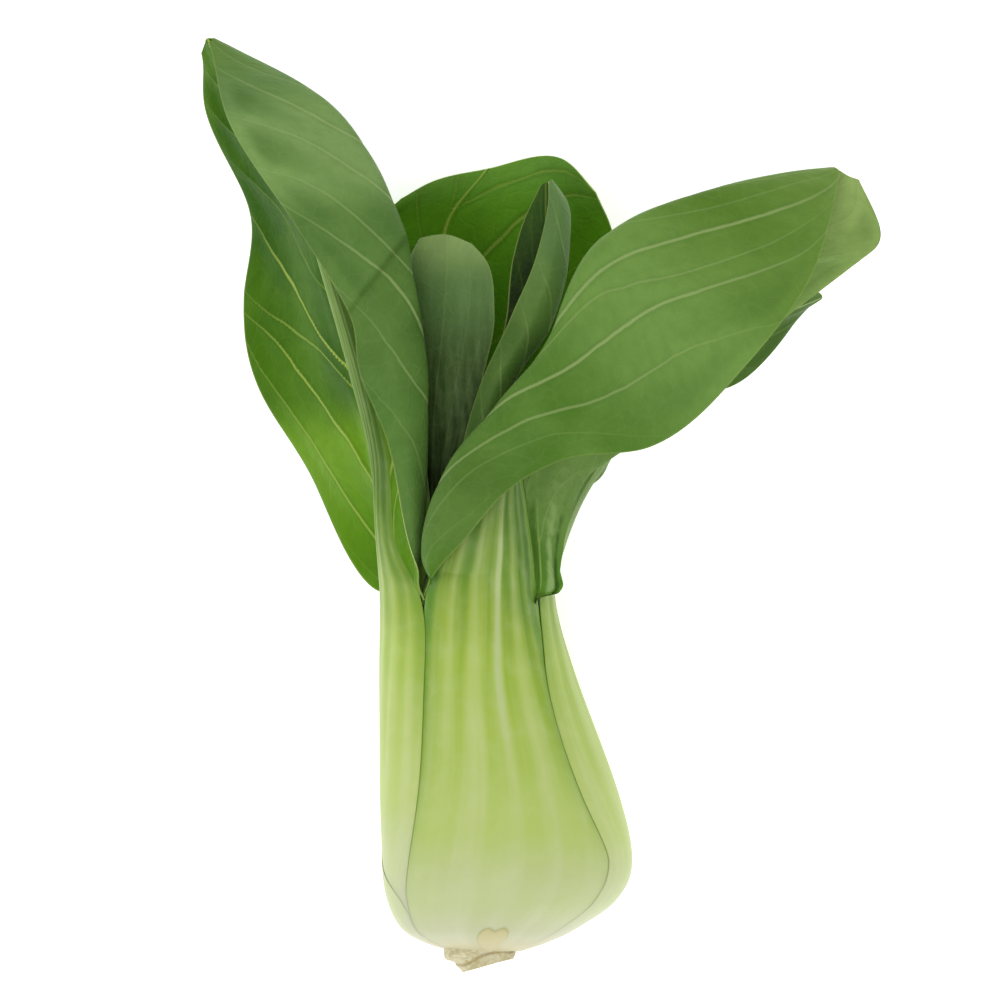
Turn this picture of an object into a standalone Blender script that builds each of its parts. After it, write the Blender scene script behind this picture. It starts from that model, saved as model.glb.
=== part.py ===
"""Bok choy, a whole head lying on its side: a cut stem base, four outer leaves, two inner ones and a
heart of two small ones. Each leaf is a pale stalk, which runs on as its midrib, and a green blade.

The head lies along +Y with its leaf tips away from the base, and +Z is up. Lengths are in millimetres in
the head's own frame (base at y = 0, table at z = 0) and become metres when a mesh is made.
"""

import math

import bpy
import numpy as np

MILLIMETRE = 0.001

# The head's outer form: distances along it, and there its sideways centre, its half width, its half depth,
# and how far ahead on the axis the layers under its surface are heading. Stalks are nested inside this form.
HEAD_ALONG = (-1.5, 0.5, 4.0, 11.0, 20.5, 37.5, 64.0, 83.5)
HEAD_CENTRE = (-4.9, -5.1, -4.3, -1.2, 0.0, -2.0, -6.9, -9.8)
HEAD_HALF_WIDTH = (8.5, 14.8, 21.3, 27.9, 30.4, 28.8, 23.9, 20.7)
HEAD_HALF_DEPTH = (7.6, 13.4, 19.2, 24.8, 27.0, 26.4, 23.8, 22.0)
HEAD_LEAD = (27.0, 25.0, 22.0, 15.0, 8.0, 3.0, 0.0, 0.0)
NECK = len(HEAD_ALONG) - 1
HEAD_LIFT = 26.1
HEAD_ROWS = 14

# A stalk's cross-section is a lens, thin at its margins; it is thinner at the base and towards the neck,
# and turns round the head over the last rows below the neck.
STALK_EDGE = 1.0
LENS_POWER = 2.2
BASE_THINNING = 0.5
FULL_THICKNESS_ROWS = (3.0, 4.0)
TURNING_ROWS = 4.0
RIB_TURNING_ROWS = 1.4
# A stalk presses the next one in by its thickness and a gap, fading beyond its margins.
LAYER_GAP = 0.65
FULL_COVER = 1.08
COVER_FADE = 0.5
# Above the neck the stalk narrows into a midrib, which lies on the blade with a small clearance.
MIDRIB_WIDTH = 3.3
RIB_THICKNESS = 1.7
RIB_EDGE = 0.6
RIB_CLEARANCE = 0.8
RISE_LENGTH = 16.0
RISE_MARGIN = 2.0

BLADE_THICKNESS = 0.8
TABLE_CLEARANCE = 0.45
WING_GAP = 0.4
LEAST_WING = 0.7
WAVE_ONSET = 0.25
SIDE_PHASE = 0.37
CROSS_SAMPLES = 120

# A heart leaf stands round the head's axis, which leans aside above the neck, and closes in to its tip.
HEART_SHIFT = 4.5
HEART_STATIONS = (0.2, 0.45, 0.7, 0.88, 1.0)
HEART_SPREAD = 72.0
HEART_TIP_SPREAD = 42.0
HEART_CLOSING = 0.35
HEART_ROUNDING = 0.1

STUB_ALONG = (-5.0, -3.2, -1.9, 2.0, 9.0, 16.0)
STUB_RADIUS = (5.9, 6.9, 7.0, 5.6, 3.9, 1.6)
STUB_SIDES = 20
STUB_UNEVEN = (0.07, 0.05)
STUB_SLANT = 0.16

# Where the head's own frame sits in the world: the middle of the model's box, on the table.
ORIGIN = (8.4, 106.9, 0.0)


def smooth(value):
    """Ease from 0 to 1 as value runs from 0 to 1."""
    value = np.clip(value, 0.0, 1.0)
    return value * value * (3.0 - 2.0 * value)


def spline(points, places, at):
    """Read, at the given positions, the smooth curve that meets each point at its place."""
    points = np.asarray(points, float)
    places = np.asarray(places, float)
    at = np.asarray(at, float)
    slopes = np.gradient(points, places, axis=0)
    cell = np.clip(np.searchsorted(places, at, side="right") - 1, 0, len(places) - 2)
    span = places[cell + 1] - places[cell]
    t = (at - places[cell]) / span
    if points.ndim > 1:
        span = span[:, None]
        t = t[:, None]
    start, end = points[cell], points[cell + 1]
    lead, trail = slopes[cell] * span, slopes[cell + 1] * span
    return (
        start * (1 + 2 * t) * (1 - t) ** 2
        + lead * t * (1 - t) ** 2
        + end * t * t * (3 - 2 * t)
        - trail * t * t * (1 - t)
    )


def head_value(values, row):
    """One of the head's listed measures at a fractional row of the list."""
    return spline(values, range(len(values)), np.atleast_1d(row).astype(float))


def head_point(angle, row, depth):
    """The point at an angle round the head, at a row along it and at a depth under its outer form."""
    angle, row, depth = np.broadcast_arrays(angle, row, depth)
    shape = angle.shape
    row = row.ravel()
    turn = np.radians(angle.ravel())
    along = head_value(HEAD_ALONG, row)
    centre = head_value(HEAD_CENTRE, row)
    reach = head_value(HEAD_HALF_WIDTH, row)
    height = head_value(HEAD_HALF_DEPTH, row)
    lead = head_value(HEAD_LEAD, row)
    axis = np.stack([centre, along + lead, np.full_like(along, HEAD_LIFT)], axis=1)
    outer = np.stack(
        [
            centre + reach * np.cos(turn),
            along,
            HEAD_LIFT + height * np.sin(turn),
        ],
        axis=1,
    )
    inward = axis - outer
    inward /= np.linalg.norm(inward, axis=1, keepdims=True)
    return (outer + inward * depth.ravel()[:, None]).reshape(shape + (3,))


class Leaf:
    """One leaf: its place in the nested stalks, and the lines along its blade from the left margin to the
    right one, looking at its outer side with the tip up. Each line has one point for each station."""

    def __init__(self, name, angles, spans, thickness, lines, midrib, stalk_widths, **more):
        self.name = name
        self.angles = angles
        self.spans = spans
        self.thickness = thickness
        self.lines = [np.array(line, float) for line in lines]
        self.midrib = midrib
        self.stalk_widths = stalk_widths
        self.starts = more["starts"]
        self.rib_end = more["rib_end"]
        self.wave = more["wave"]
        self.counts = more["counts"]
        self.gap = more.get("gap", LAYER_GAP)
        self.neck_rib = more.get("neck_rib", 0.0)
        self.outside = []

    @staticmethod
    def turning(bulb_and_neck, row):
        """A value that keeps its bulb size up to the last rows and eases into its neck size over them."""
        bulb, neck = bulb_and_neck
        return bulb + (neck - bulb) * smooth((row - NECK + TURNING_ROWS) / TURNING_ROWS)

    def angle(self, row):
        """The direction that the stalk's middle faces, in degrees round the head."""
        return self.turning(self.angles, row)

    def span(self, row):
        """Half the stalk's width, in degrees round the head."""
        return self.turning(self.spans, row)

    def across_at(self, column, row):
        """The place across the stalk of a column that is -1 and 1 at its margins and 0 on the midrib,
        which leaves the stalk's middle close to the neck."""
        rib = self.neck_rib * np.clip((row - NECK) / RIB_TURNING_ROWS + 1, 0, 1) ** 2
        return np.where(column < 0, rib + column * (1 + rib), rib + column * (1 - rib))

    def middle_thickness(self, row):
        first, last = FULL_THICKNESS_ROWS
        swell = BASE_THINNING + (1 - BASE_THINNING) * smooth(row / first)
        taper = smooth((row - last) / (NECK - last))
        return swell * (self.thickness[0] + (self.thickness[1] - self.thickness[0]) * taper)

    def lens(self, across, row):
        """The stalk's thickness at a place across it: full in the middle, thin at both margins."""
        bulge = np.clip(1 - np.abs(across) ** LENS_POWER, 0, 1)
        return STALK_EDGE + (self.middle_thickness(row) - STALK_EDGE) * bulge

    def cover(self, angle, row):
        """How deep this stalk and the gap under it push whatever lies further in, at that angle."""
        off = (angle - self.angle(row) + 180.0) % 360.0 - 180.0
        across = off / self.span(row)
        fade = 1 - smooth((np.abs(across) - FULL_COVER) / COVER_FADE)
        return (self.lens(across, row) + self.gap) * fade

    def depth(self, angle, row):
        return sum((leaf.cover(angle, row) for leaf in self.outside), np.zeros(np.shape(angle)))

    def stalk_point(self, across, row, sunk):
        """A point of the nested stalk; sunk is 0 on its outer face and 1 on its inner face."""
        across, row, sunk = np.broadcast_arrays(across, row, sunk)
        angle = self.angle(row) - across * self.span(row)
        return head_point(angle, row, self.depth(angle, row) + sunk * self.lens(across, row))

    def neck_station(self, row):
        """The lines' points on the nested stalk at one row, lying half an edge above its inner face."""
        across = self.across_at(np.array(self.starts, float), row)
        angle = self.angle(row) - across * self.span(row)
        depth = self.depth(angle, row) + self.lens(across, row) - STALK_EDGE / 2
        return head_point(angle, np.full_like(angle, float(row)), depth)

    def stations(self):
        """Every line's points from just below the neck to the tip, and each station's distance along."""
        below = self.neck_station(NECK - 1)
        neck = self.neck_station(NECK)
        rest = np.stack(self.lines, axis=1)
        points = np.concatenate([below[None], neck[None], rest])
        steps = np.linalg.norm(np.diff(points[:, self.midrib], axis=0), axis=1)
        along = np.concatenate([[0.0], np.cumsum(steps)])
        return points, along - along[1]

    def stalk_reach(self):
        """The lengths of the neck's arc from the midrib to the stalk's left and right margins."""
        across = self.across_at(np.linspace(-1, 1, 2 * CROSS_SAMPLES + 1), NECK)
        angle = self.angle(NECK) - across * self.span(NECK)
        depth = self.depth(angle, NECK) + self.lens(across, NECK) - STALK_EDGE / 2
        arc = head_point(angle, np.full_like(angle, float(NECK)), depth)
        steps = np.linalg.norm(np.diff(arc, axis=0), axis=1)
        return steps[:CROSS_SAMPLES].sum(), steps[CROSS_SAMPLES:].sum()

    def surface(self, left, middle, right, rows):
        """The leaf's sheet above the neck as a grid of points and outward normals. Its columns run from
        the left margin to the stalk, across the stalk, and on to the right margin."""
        points, along = self.stations()
        at = np.linspace(0, along[-1], rows)
        widths = [spline((reach, reach) + self.stalk_widths, along, at) for reach in self.stalk_reach()]
        lines = np.stack([spline(points[:, i], along, at) for i in range(points.shape[1])], axis=1)
        grid = np.empty((rows, left + middle + right, 3))
        for i, crossing in enumerate(lines):
            grid[i] = self.cross_points(crossing, widths[0][i], widths[1][i], left, middle, right)
        share = at / along[-1]
        height, count, phase = self.wave
        outer = np.concatenate([np.linspace(1, 0, left), np.zeros(middle), np.linspace(0, 1, right)])
        side = np.concatenate([np.zeros(left + middle), np.ones(right)])
        ripple = np.sin(2 * math.pi * (count * share[:, None] + phase + SIDE_PHASE * side[None]))
        rise = smooth(share / WAVE_ONSET)[:, None] * height * outer[None] ** 2 * ripple
        grid = grid + self.normals(grid) * rise[..., None]
        grid[..., 2] = np.maximum(grid[..., 2], TABLE_CLEARANCE)
        return grid, self.normals(grid), at, widths

    @staticmethod
    def normals(grid):
        """The outward direction at each point of a grid."""
        found = np.cross(np.gradient(grid, axis=1), np.gradient(grid, axis=0))
        return found / np.linalg.norm(found, axis=2, keepdims=True)

    def cross_points(self, crossing, left_width, right_width, left, middle, right):
        """The points of one row, spaced along the smooth curve through the lines' points there."""
        steps = np.linalg.norm(np.diff(crossing, axis=0), axis=1)
        places = np.concatenate([[0.0], np.cumsum(steps)])
        dense_at = np.linspace(0, places[-1], CROSS_SAMPLES)
        dense = spline(crossing, places, dense_at)
        run = np.concatenate([[0.0], np.cumsum(np.linalg.norm(np.diff(dense, axis=0), axis=1))])
        run -= np.interp(places[self.midrib], dense_at, run)
        left_width = min(left_width, -run[0] - WING_GAP - LEAST_WING)
        right_width = min(right_width, run[-1] - WING_GAP - LEAST_WING)
        stalk = np.linspace(-1, 1, middle)
        at = np.concatenate(
            [
                np.linspace(run[0], -left_width - WING_GAP, left),
                np.where(stalk < 0, stalk * left_width, stalk * right_width),
                np.linspace(right_width + WING_GAP, run[-1], right),
            ]
        )
        return np.stack([np.interp(at, run, dense[:, k]) for k in range(3)], axis=1)

    def joining_row(self, widths):
        """The first row where the stalk is narrow enough to be a midrib lying on the whole blade."""
        return int(np.argmax(widths[0] + widths[1] < 2 * MIDRIB_WIDTH))

    def rib_heights(self, across, at, join_at, end):
        """The stalk's outer and inner heights over the sheet, at one row above the neck."""
        taper = smooth(at / end)
        middle = self.thickness[1] + (RIB_THICKNESS - self.thickness[1]) * taper
        edge = STALK_EDGE + (RIB_EDGE - STALK_EDGE) * taper
        step = smooth((at - join_at + RISE_LENGTH) / (RISE_LENGTH - RISE_MARGIN))
        inner = -STALK_EDGE / 2 + (RIB_CLEARANCE + STALK_EDGE / 2) * step
        bulge = np.clip(1 - np.abs(across) ** LENS_POWER, 0, 1)
        return inner + edge + (middle - edge) * bulge, np.full_like(across, inner)

    def stalk_rings(self):
        """The stalk's cross-sections from its base to the end of its midrib, each a closed ring."""
        left, middle, right, rows = self.counts
        across = np.linspace(-1, 1, middle)
        rings = []
        for row in np.linspace(0, NECK, HEAD_ROWS + 1)[:-1]:
            places = self.across_at(across, row)
            faces = [self.stalk_point(places, row, sunk) for sunk in (0.0, 1.0)]
            rings.append(np.concatenate([faces[0], faces[1][::-1]]))
        grid, normals, at, widths = self.surface(left, middle, right, rows)
        join = self.joining_row(widths)
        last = max(join + 2, int(round(self.rib_end * (rows - 1))))
        for i in range(last + 1):
            points, up = grid[i, left : left + middle], normals[i, left : left + middle]
            outer, inner = self.rib_heights(across, at[i], at[join], at[last])
            faces = [points + up * height[:, None] for height in (outer, inner)]
            rings.append(np.concatenate([faces[0], faces[1][::-1]]))
        return rings

    def blade_sheet(self):
        """The blade's middle surface: points, and triangles that leave a slot for the stalk."""
        left, middle, right, rows = self.counts
        grid, _, _, widths = self.surface(left, middle, right, rows)
        join = self.joining_row(widths)
        centre = left + middle // 2
        kept = list(range(left)) + [centre] + list(range(left + middle, left + middle + right))
        grid = grid[:, kept]
        triangles = []
        for i in range(rows - 1):
            for j in range(len(kept) - 1):
                if i < join and j in (left - 1, left):
                    continue
                corners = [(i, j), (i, j + 1), (i + 1, j + 1), (i + 1, j)]
                a, b, c, d = [row * len(kept) + column for row, column in corners]
                triangles += [(a, b, c), (a, c, d)] if (i + j) % 2 else [(a, b, d), (b, c, d)]
        return grid.reshape(-1, 3), triangles


def heart_leaf(name, angle, distance, reach, thickness):
    """A small young leaf of the heart, cupped round the head's own axis."""
    lines = []
    for across in (-1.0, -0.5, 0.0, 0.5, 1.0):
        line = []
        for share in HEART_STATIONS:
            shift = HEART_SHIFT * smooth(2 * share)
            radius = distance * (1.0 - HEART_CLOSING * share)
            spread = HEART_SPREAD + (HEART_TIP_SPREAD - HEART_SPREAD) * share**3
            turn = math.radians(angle - across * spread)
            line.append(
                (
                    HEAD_CENTRE[NECK] + shift + radius * math.cos(turn),
                    HEAD_ALONG[NECK] + reach * share * (1.0 - HEART_ROUNDING * across**2),
                    HEAD_LIFT - shift + radius * math.sin(turn),
                )
            )
        lines.append(line)
    return Leaf(
        name,
        angles=(angle, angle),
        spans=(60.0, 48.0),
        thickness=thickness,
        lines=lines,
        midrib=2,
        stalk_widths=(5.0, 2.6, 1.6, 1.0, 0.8),
        starts=(-1.05, -0.5, 0.0, 0.5, 1.05),
        rib_end=0.8,
        wave=(0.3, 2.0, 0.1),
        counts=(3, 11, 3, 8),
    )


def back_leaf():
    lines = (
        # left margin
        ((-1, 93, 8.5), (8, 110.5, 7.5), (19.5, 132.5, 7.5), (27, 156, 9), (25.5, 171.5, 13),
         (22, 182.5, 15)),
        # middle of the left half
        ((-4.5, 93, 7.2), (-1.5, 111.5, 5.5), (3, 134, 4.5), (7.5, 156.5, 5), (8, 175, 8),
         (13.5, 190.5, 13)),
        # midrib
        ((-9, 93.5, 6.8), (-12, 112.5, 4.6), (-15, 135, 3.4), (-15.5, 157.5, 3), (-14.5, 175, 4.5),
         (-5, 188, 10)),
        # middle of the right half
        ((-14.5, 93, 7.2), (-20, 111.5, 5), (-29.5, 134.5, 4.5), (-30, 157, 4.5), (-25.5, 174.5, 5.5),
         (-19, 184.5, 9)),
        # right margin
        ((-18, 93, 8.5), (-27.5, 111, 6), (-39, 133, 6), (-41, 156, 8), (-35.5, 173.5, 8),
         (-25.5, 180.5, 9)),
    )
    return Leaf(
        "back_leaf",
        angles=(255.0, 273.0),
        spans=(80.0, 35.0),
        thickness=(5.4, 3.2),
        lines=lines,
        midrib=2,
        stalk_widths=(12.0, 6.5, 3.6, 2.4, 1.6, 0.9),
        starts=(-1.05, -0.5, 0.0, 0.5, 1.05),
        rib_end=0.86,
        wave=(1.0, 2.5, 0.2),
        counts=(6, 13, 6, 14),
    )


def left_leaf():
    lines = (
        # left margin
        ((-33, 87, 11), (-48.5, 114, 6), (-60, 135.5, 2), (-64, 156, 1.2), (-62.5, 176.5, 6),
         (-73.5, 204, 16), (-74, 216, 22)),
        # middle of the left half
        ((-28, 92.5, 15), (-39, 116, 19), (-48.5, 137, 14), (-52.5, 157.5, 13), (-54.5, 176, 17),
         (-66.5, 201.5, 22.5), (-73, 218.5, 25)),
        # midrib
        ((-28.5, 98.5, 28), (-30.5, 118.5, 30), (-35.5, 137.5, 32), (-41, 156, 33), (-47, 174, 33),
         (-60.5, 200, 30.5), (-72.5, 219.5, 27)),
        # right half below the fold
        ((-25.5, 98, 37), (-25.5, 119.5, 35.5), (-28, 138, 35), (-31.5, 157, 35.5), (-37, 175, 35),
         (-52, 202.5, 32), (-71.5, 219.5, 27.5)),
        # fold
        ((-21, 96, 42.5), (-19.5, 120, 42), (-19.5, 138.5, 41), (-22.5, 158.5, 41), (-25.5, 174.5, 42),
         (-44, 204, 37), (-71, 219.5, 29)),
        # middle of the flap
        ((-22.5, 96.5, 46), (-23, 120.5, 46), (-26.5, 138, 46), (-29, 156, 45), (-37.5, 173.5, 48),
         (-56, 202, 42), (-71, 219.5, 31)),
        # right margin
        ((-24, 97.5, 47), (-28.5, 120.5, 46.5), (-35.5, 138, 45), (-38, 152.5, 43), (-51, 173.5, 45),
         (-67.5, 200, 39), (-72, 218.5, 32)),
    )
    return Leaf(
        "left_leaf",
        angles=(205.0, 178.0),
        spans=(59.0, 57.0),
        thickness=(5.4, 3.4),
        lines=lines,
        midrib=2,
        stalk_widths=(6.0, 3.2, 2.7, 2.3, 1.8, 1.2, 0.8),
        starts=(-1.05, -0.5, 0.0, 0.4, 0.75, 0.93, 1.05),
        rib_end=0.8,
        wave=(0.9, 3.0, 0.0),
        counts=(8, 9, 14, 20),
    )


def right_leaf():
    lines = (
        # left margin
        ((9.5, 97, 32), (13.5, 113, 31.5), (23, 130.5, 29), (42, 150, 26), (57.5, 161, 21),
         (72.5, 161, 15)),
        # middle of the left half
        ((10.5, 96, 27.5), (15.5, 111.5, 25.5), (26, 127.5, 22), (45.5, 144.5, 18), (61.5, 156, 14.5),
         (74.5, 159, 12.5)),
        # midrib
        ((10.5, 95.5, 21), (17, 110.5, 17.5), (28, 124.5, 14), (46.5, 140, 11), (63, 151, 9.5),
         (76.5, 157, 9.5)),
        # middle of the right half
        ((9.5, 95, 15), (16.5, 108.5, 11), (27, 121, 7), (45.5, 135.5, 5), (61.5, 146.5, 4.5),
         (74, 155, 6.5)),
        # right margin
        ((8, 94, 11), (15, 106.5, 7), (25, 118, 3.5), (42.5, 130, 1.2), (58, 138, 1.5), (72.5, 153, 4)),
    )
    return Leaf(
        "right_leaf",
        angles=(340.0, 351.5),
        spans=(56.0, 39.5),
        thickness=(5.4, 3.2),
        lines=lines,
        midrib=2,
        stalk_widths=(8.5, 5.0, 3.2, 2.2, 1.4, 0.9),
        starts=(-1.05, -0.5, 0.0, 0.5, 1.05),
        rib_end=0.86,
        wave=(1.0, 4.0, 0.3),
        counts=(6, 9, 6, 15),
    )


def front_leaf():
    lines = (
        # left margin
        ((-17, 90.5, 50), (-10.5, 98, 54), (-1, 109.5, 57), (13, 117, 59), (34.5, 120.5, 57),
         (57, 139.5, 56), (72.5, 160, 55), (78.5, 179, 52), (80.5, 186.5, 49.5)),
        # middle of the flap
        ((-18.5, 91.5, 50.5), (-15, 101.5, 55.5), (-7, 112.5, 59.5), (5.5, 123.5, 62),
         (22.5, 132.5, 62), (40.5, 153.5, 62), (60.5, 170.5, 59), (74.5, 182, 54), (80, 187.5, 49.5)),
        # fold
        ((-20, 92.5, 48.6), (-18.5, 105, 52), (-13.5, 116, 55), (-2.5, 130, 56), (8.5, 143.5, 56),
         (22.5, 170, 55), (46.5, 181.5, 53), (68, 186.5, 50), (79, 188, 48)),
        # midrib
        ((-2.5, 94, 45.6), (-2, 107.5, 46.8), (-1, 118.5, 48), (3.5, 131.5, 49), (15, 146, 49.3),
         (32, 164.5, 48.5), (53, 175, 47), (71, 182, 45.5), (80, 187.5, 45.5)),
        # middle of the right half
        ((4, 93, 43.6), (5.5, 106.5, 44.4), (9, 115, 44.4), (17, 124, 43.8), (29.5, 132.5, 43.5),
         (46.5, 149, 43), (65.5, 165, 42), (80, 177, 43), (82.5, 186, 44)),
        # right margin
        ((12, 87.5, 38.6), (13.5, 98, 38.3), (18.5, 109.5, 37.8), (25.5, 117.5, 37), (36, 124.5, 36.5),
         (57.5, 144, 36), (80, 164, 37), (91, 172.5, 39), (85, 185, 42)),
    )
    return Leaf(
        "front_leaf",
        angles=(90.0, 77.0),
        spans=(66.0, 41.5),
        thickness=(5.8, 3.6),
        lines=lines,
        midrib=3,
        stalk_widths=(12.0, 9.0, 6.5, 4.4, 3.2, 2.4, 1.8, 1.2, 0.8),
        starts=(-1.05, -0.9, -0.75, 0.0, 0.5, 1.05),
        rib_end=0.82,
        wave=(1.0, 3.0, 0.1),
        counts=(13, 9, 8, 20),
        neck_rib=0.19,
    )


def hooded_leaf():
    lines = (
        # left margin
        ((-14, 99, 40.5), (-11, 118.5, 41), (-6, 137, 40), (1, 151.5, 40), (7.5, 168.5, 39.5),
         (10, 180, 38), (10, 184.5, 36.5)),
        # middle of the left half
        ((-11, 98.5, 41.8), (-8, 118.5, 43), (-2.5, 136.5, 43.5), (6, 151, 43.5), (11, 168, 42.5),
         (12.5, 180, 40), (10.5, 185, 36)),
        # fold
        ((-6.5, 98, 41.5), (-4.5, 120, 41.5), (2, 137, 40), (10.5, 150, 39), (15, 169.5, 38),
         (14.5, 179.5, 36.5), (11, 184.5, 34.5)),
        # midrib
        ((-4.5, 99, 38), (-5, 121, 35.6), (0, 139, 34.5), (6.5, 153, 33.5), (9.5, 170.5, 32),
         (9.5, 179, 32), (9.5, 184.5, 32)),
        # right margin
        ((-6.5, 100.5, 32), (-9.5, 122, 31.5), (-4.5, 140.5, 30.5), (0, 151.5, 30), (1.5, 167, 29.5),
         (4.5, 176.5, 30), (8, 183.5, 31)),
    )
    return Leaf(
        "hooded_leaf",
        angles=(60.0, 65.0),
        spans=(78.0, 60.0),
        thickness=(4.0, 2.6),
        lines=lines,
        midrib=3,
        stalk_widths=(6.0, 4.0, 2.8, 2.0, 1.4, 1.0, 0.8),
        starts=(-1.05, -0.75, -0.35, 0.0, 1.05),
        rib_end=0.8,
        wave=(0.3, 3.0, 0.1),
        counts=(9, 11, 4, 15),
    )


def slim_leaf():
    lines = (
        # left margin
        ((-18.5, 98, 18.5), (-18, 114.5, 17), (-18.5, 131, 17), (-20, 150.5, 18), (-21, 165.5, 20),
         (-19, 170.5, 22)),
        # middle of the left half
        ((-20.5, 98, 22), (-21, 114.5, 20), (-22, 131, 20.5), (-23, 150.5, 21.5), (-23.5, 165.5, 22.5),
         (-20.5, 171, 23.5)),
        # midrib
        ((-21, 98, 28), (-21.5, 115, 25.5), (-22.5, 131.5, 26), (-23.5, 151, 26), (-23, 166.5, 26),
         (-21, 171, 25.5)),
        # middle of the right half
        ((-18.5, 98.5, 33), (-16, 115.5, 31.5), (-14.5, 132, 31.5), (-13.5, 151.5, 30.5),
         (-14, 167, 29.5), (-15, 172, 27.5)),
        # right margin
        ((-16, 99, 36.5), (-11, 117.5, 34.5), (-6.5, 134, 33), (-3, 153, 31.5), (-5.5, 166.5, 30),
         (-8.5, 170, 28)),
    )
    return Leaf(
        "slim_leaf",
        angles=(180.0, 185.0),
        spans=(78.0, 60.0),
        thickness=(3.8, 2.4),
        lines=lines,
        midrib=2,
        stalk_widths=(7.0, 4.2, 2.8, 2.0, 1.4, 0.8),
        starts=(-1.05, -0.5, 0.0, 0.5, 1.05),
        rib_end=0.8,
        wave=(0.6, 2.0, 0.4),
        counts=(5, 13, 5, 13),
        gap=1.2,
    )


def all_leaves():
    """The leaves from the outermost inwards; each is nested under those before it."""
    leaves = [back_leaf(), left_leaf(), right_leaf(), front_leaf(), hooded_leaf(), slim_leaf()]
    leaves.append(heart_leaf("heart_leaf_1", 285.0, 9.5, 42.0, (3.2, 2.0)))
    leaves.append(heart_leaf("heart_leaf_2", 110.0, 7.0, 36.0, (2.8, 1.8)))
    for i, leaf in enumerate(leaves):
        leaf.outside = leaves[:i]
    return leaves


def clear_scene():
    for thing in list(bpy.data.objects):
        bpy.data.objects.remove(thing, do_unlink=True)


def principled(name, colour, roughness):
    material = bpy.data.materials.new(name)
    material.use_nodes = True
    shader = material.node_tree.nodes["Principled BSDF"]
    shader.inputs["Base Color"].default_value = (*colour, 1.0)
    shader.inputs["Roughness"].default_value = roughness
    shader.inputs["Metallic"].default_value = 0.0
    return material


def add_object(name, points, faces, material, collection, parent):
    """A mesh object from points in millimetres, its faces turned to face out."""
    mesh = bpy.data.meshes.new(name)
    mesh.from_pydata((np.asarray(points) * MILLIMETRE).tolist(), [], faces)
    mesh.materials.append(material)
    thing = bpy.data.objects.new(name, mesh)
    thing.parent = parent
    collection.objects.link(thing)
    return thing


def ring_faces(rings):
    """Triangles joining closed rings of equal size, with the first and last ring capped across."""
    size = len(rings[0])
    faces = []
    for i in range(len(rings) - 1):
        for j in range(size):
            a, b = i * size + j, i * size + (j + 1) % size
            c, d = b + size, a + size
            faces += [(a, b, c), (a, c, d)]
    half = size // 2
    top = (len(rings) - 1) * size
    for j in range(half - 1):
        a, b, c, d = j, j + 1, size - 2 - j, size - 1 - j
        faces += [(a, c, b), (a, d, c)]
        faces += [(top + a, top + b, top + c), (top + a, top + c, top + d)]
    return faces


def add_stalk(leaf, material, collection, parent):
    rings = leaf.stalk_rings()
    points = np.concatenate(rings)
    points[:, 2] = np.maximum(points[:, 2], 0.0)
    return add_object(leaf.name + "_stalk", points, ring_faces(rings), material, collection, parent)


def add_blade(leaf, material, collection, parent):
    points, triangles = leaf.blade_sheet()
    blade = add_object(leaf.name + "_blade", points, triangles, material, collection, parent)
    solid = blade.modifiers.new("thickness", "SOLIDIFY")
    solid.thickness = BLADE_THICKNESS * MILLIMETRE
    solid.offset = 0.0
    return blade


def add_stem_base(material, collection, parent):
    """The short stem: a trimmed stub with an uneven cut face, and the core that the leaves grow from."""
    rings = []
    for along, radius in zip(STUB_ALONG, STUB_RADIUS):
        turns = -np.arange(STUB_SIDES) * 2 * math.pi / STUB_SIDES
        wide, fine = STUB_UNEVEN
        uneven = 1 + wide * np.sin(2 * turns + 0.6) + fine * np.sin(3 * turns + along)
        slant = STUB_SLANT * radius * np.cos(turns) * (along < 0)
        ring = np.stack(
            [
                HEAD_CENTRE[0] + radius * uneven * np.cos(turns),
                along + slant,
                HEAD_LIFT + radius * uneven * np.sin(turns),
            ],
            axis=1,
        )
        rings.append(ring)
    return add_object("stem_base", np.concatenate(rings), ring_faces(rings), material, collection, parent)


def main():
    clear_scene()
    collection = bpy.data.collections.new("bok_choy")
    bpy.context.scene.collection.children.link(collection)
    origin = bpy.data.objects.new("head_frame", None)
    origin.location = [-value * MILLIMETRE for value in ORIGIN]
    collection.objects.link(origin)
    pale = principled("pale stalk", (0.45, 0.55, 0.16), 0.4)
    green = principled("green blade", (0.06, 0.17, 0.02), 0.45)
    cut = principled("cut stem", (0.62, 0.52, 0.28), 0.7)
    add_stem_base(cut, collection, origin)
    for leaf in all_leaves():
        add_stalk(leaf, pale, collection, origin)
        add_blade(leaf, green, collection, origin)


if __name__ == "__main__":
    main()
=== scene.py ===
"""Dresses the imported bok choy: finely built leaves and stem with living finishes, on a pale studio floor.

Lengths in this file are millimetres in the head's own frame (base at y = 0, table at z = 0, leaf tips
towards +Y) and become metres in the model's frame when a mesh is made.
"""

import math

import bpy
import numpy as np
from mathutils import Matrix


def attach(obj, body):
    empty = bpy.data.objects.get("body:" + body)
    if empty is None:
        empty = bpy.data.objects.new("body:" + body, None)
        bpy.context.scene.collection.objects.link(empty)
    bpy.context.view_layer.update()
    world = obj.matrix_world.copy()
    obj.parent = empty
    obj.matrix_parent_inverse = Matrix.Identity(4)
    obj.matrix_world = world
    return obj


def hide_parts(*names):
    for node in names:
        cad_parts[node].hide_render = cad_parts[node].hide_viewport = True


bl_info = {
    "name": "Bok choy",
    "version": (1, 0, 0),
    "blender": (4, 5, 0),
    "location": "View3D > Sidebar > Bok choy",
    "description": "Builds the visible leaves, stalks and stem of a bok choy head round its packed solids",
    "category": "Add Mesh",
}

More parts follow.
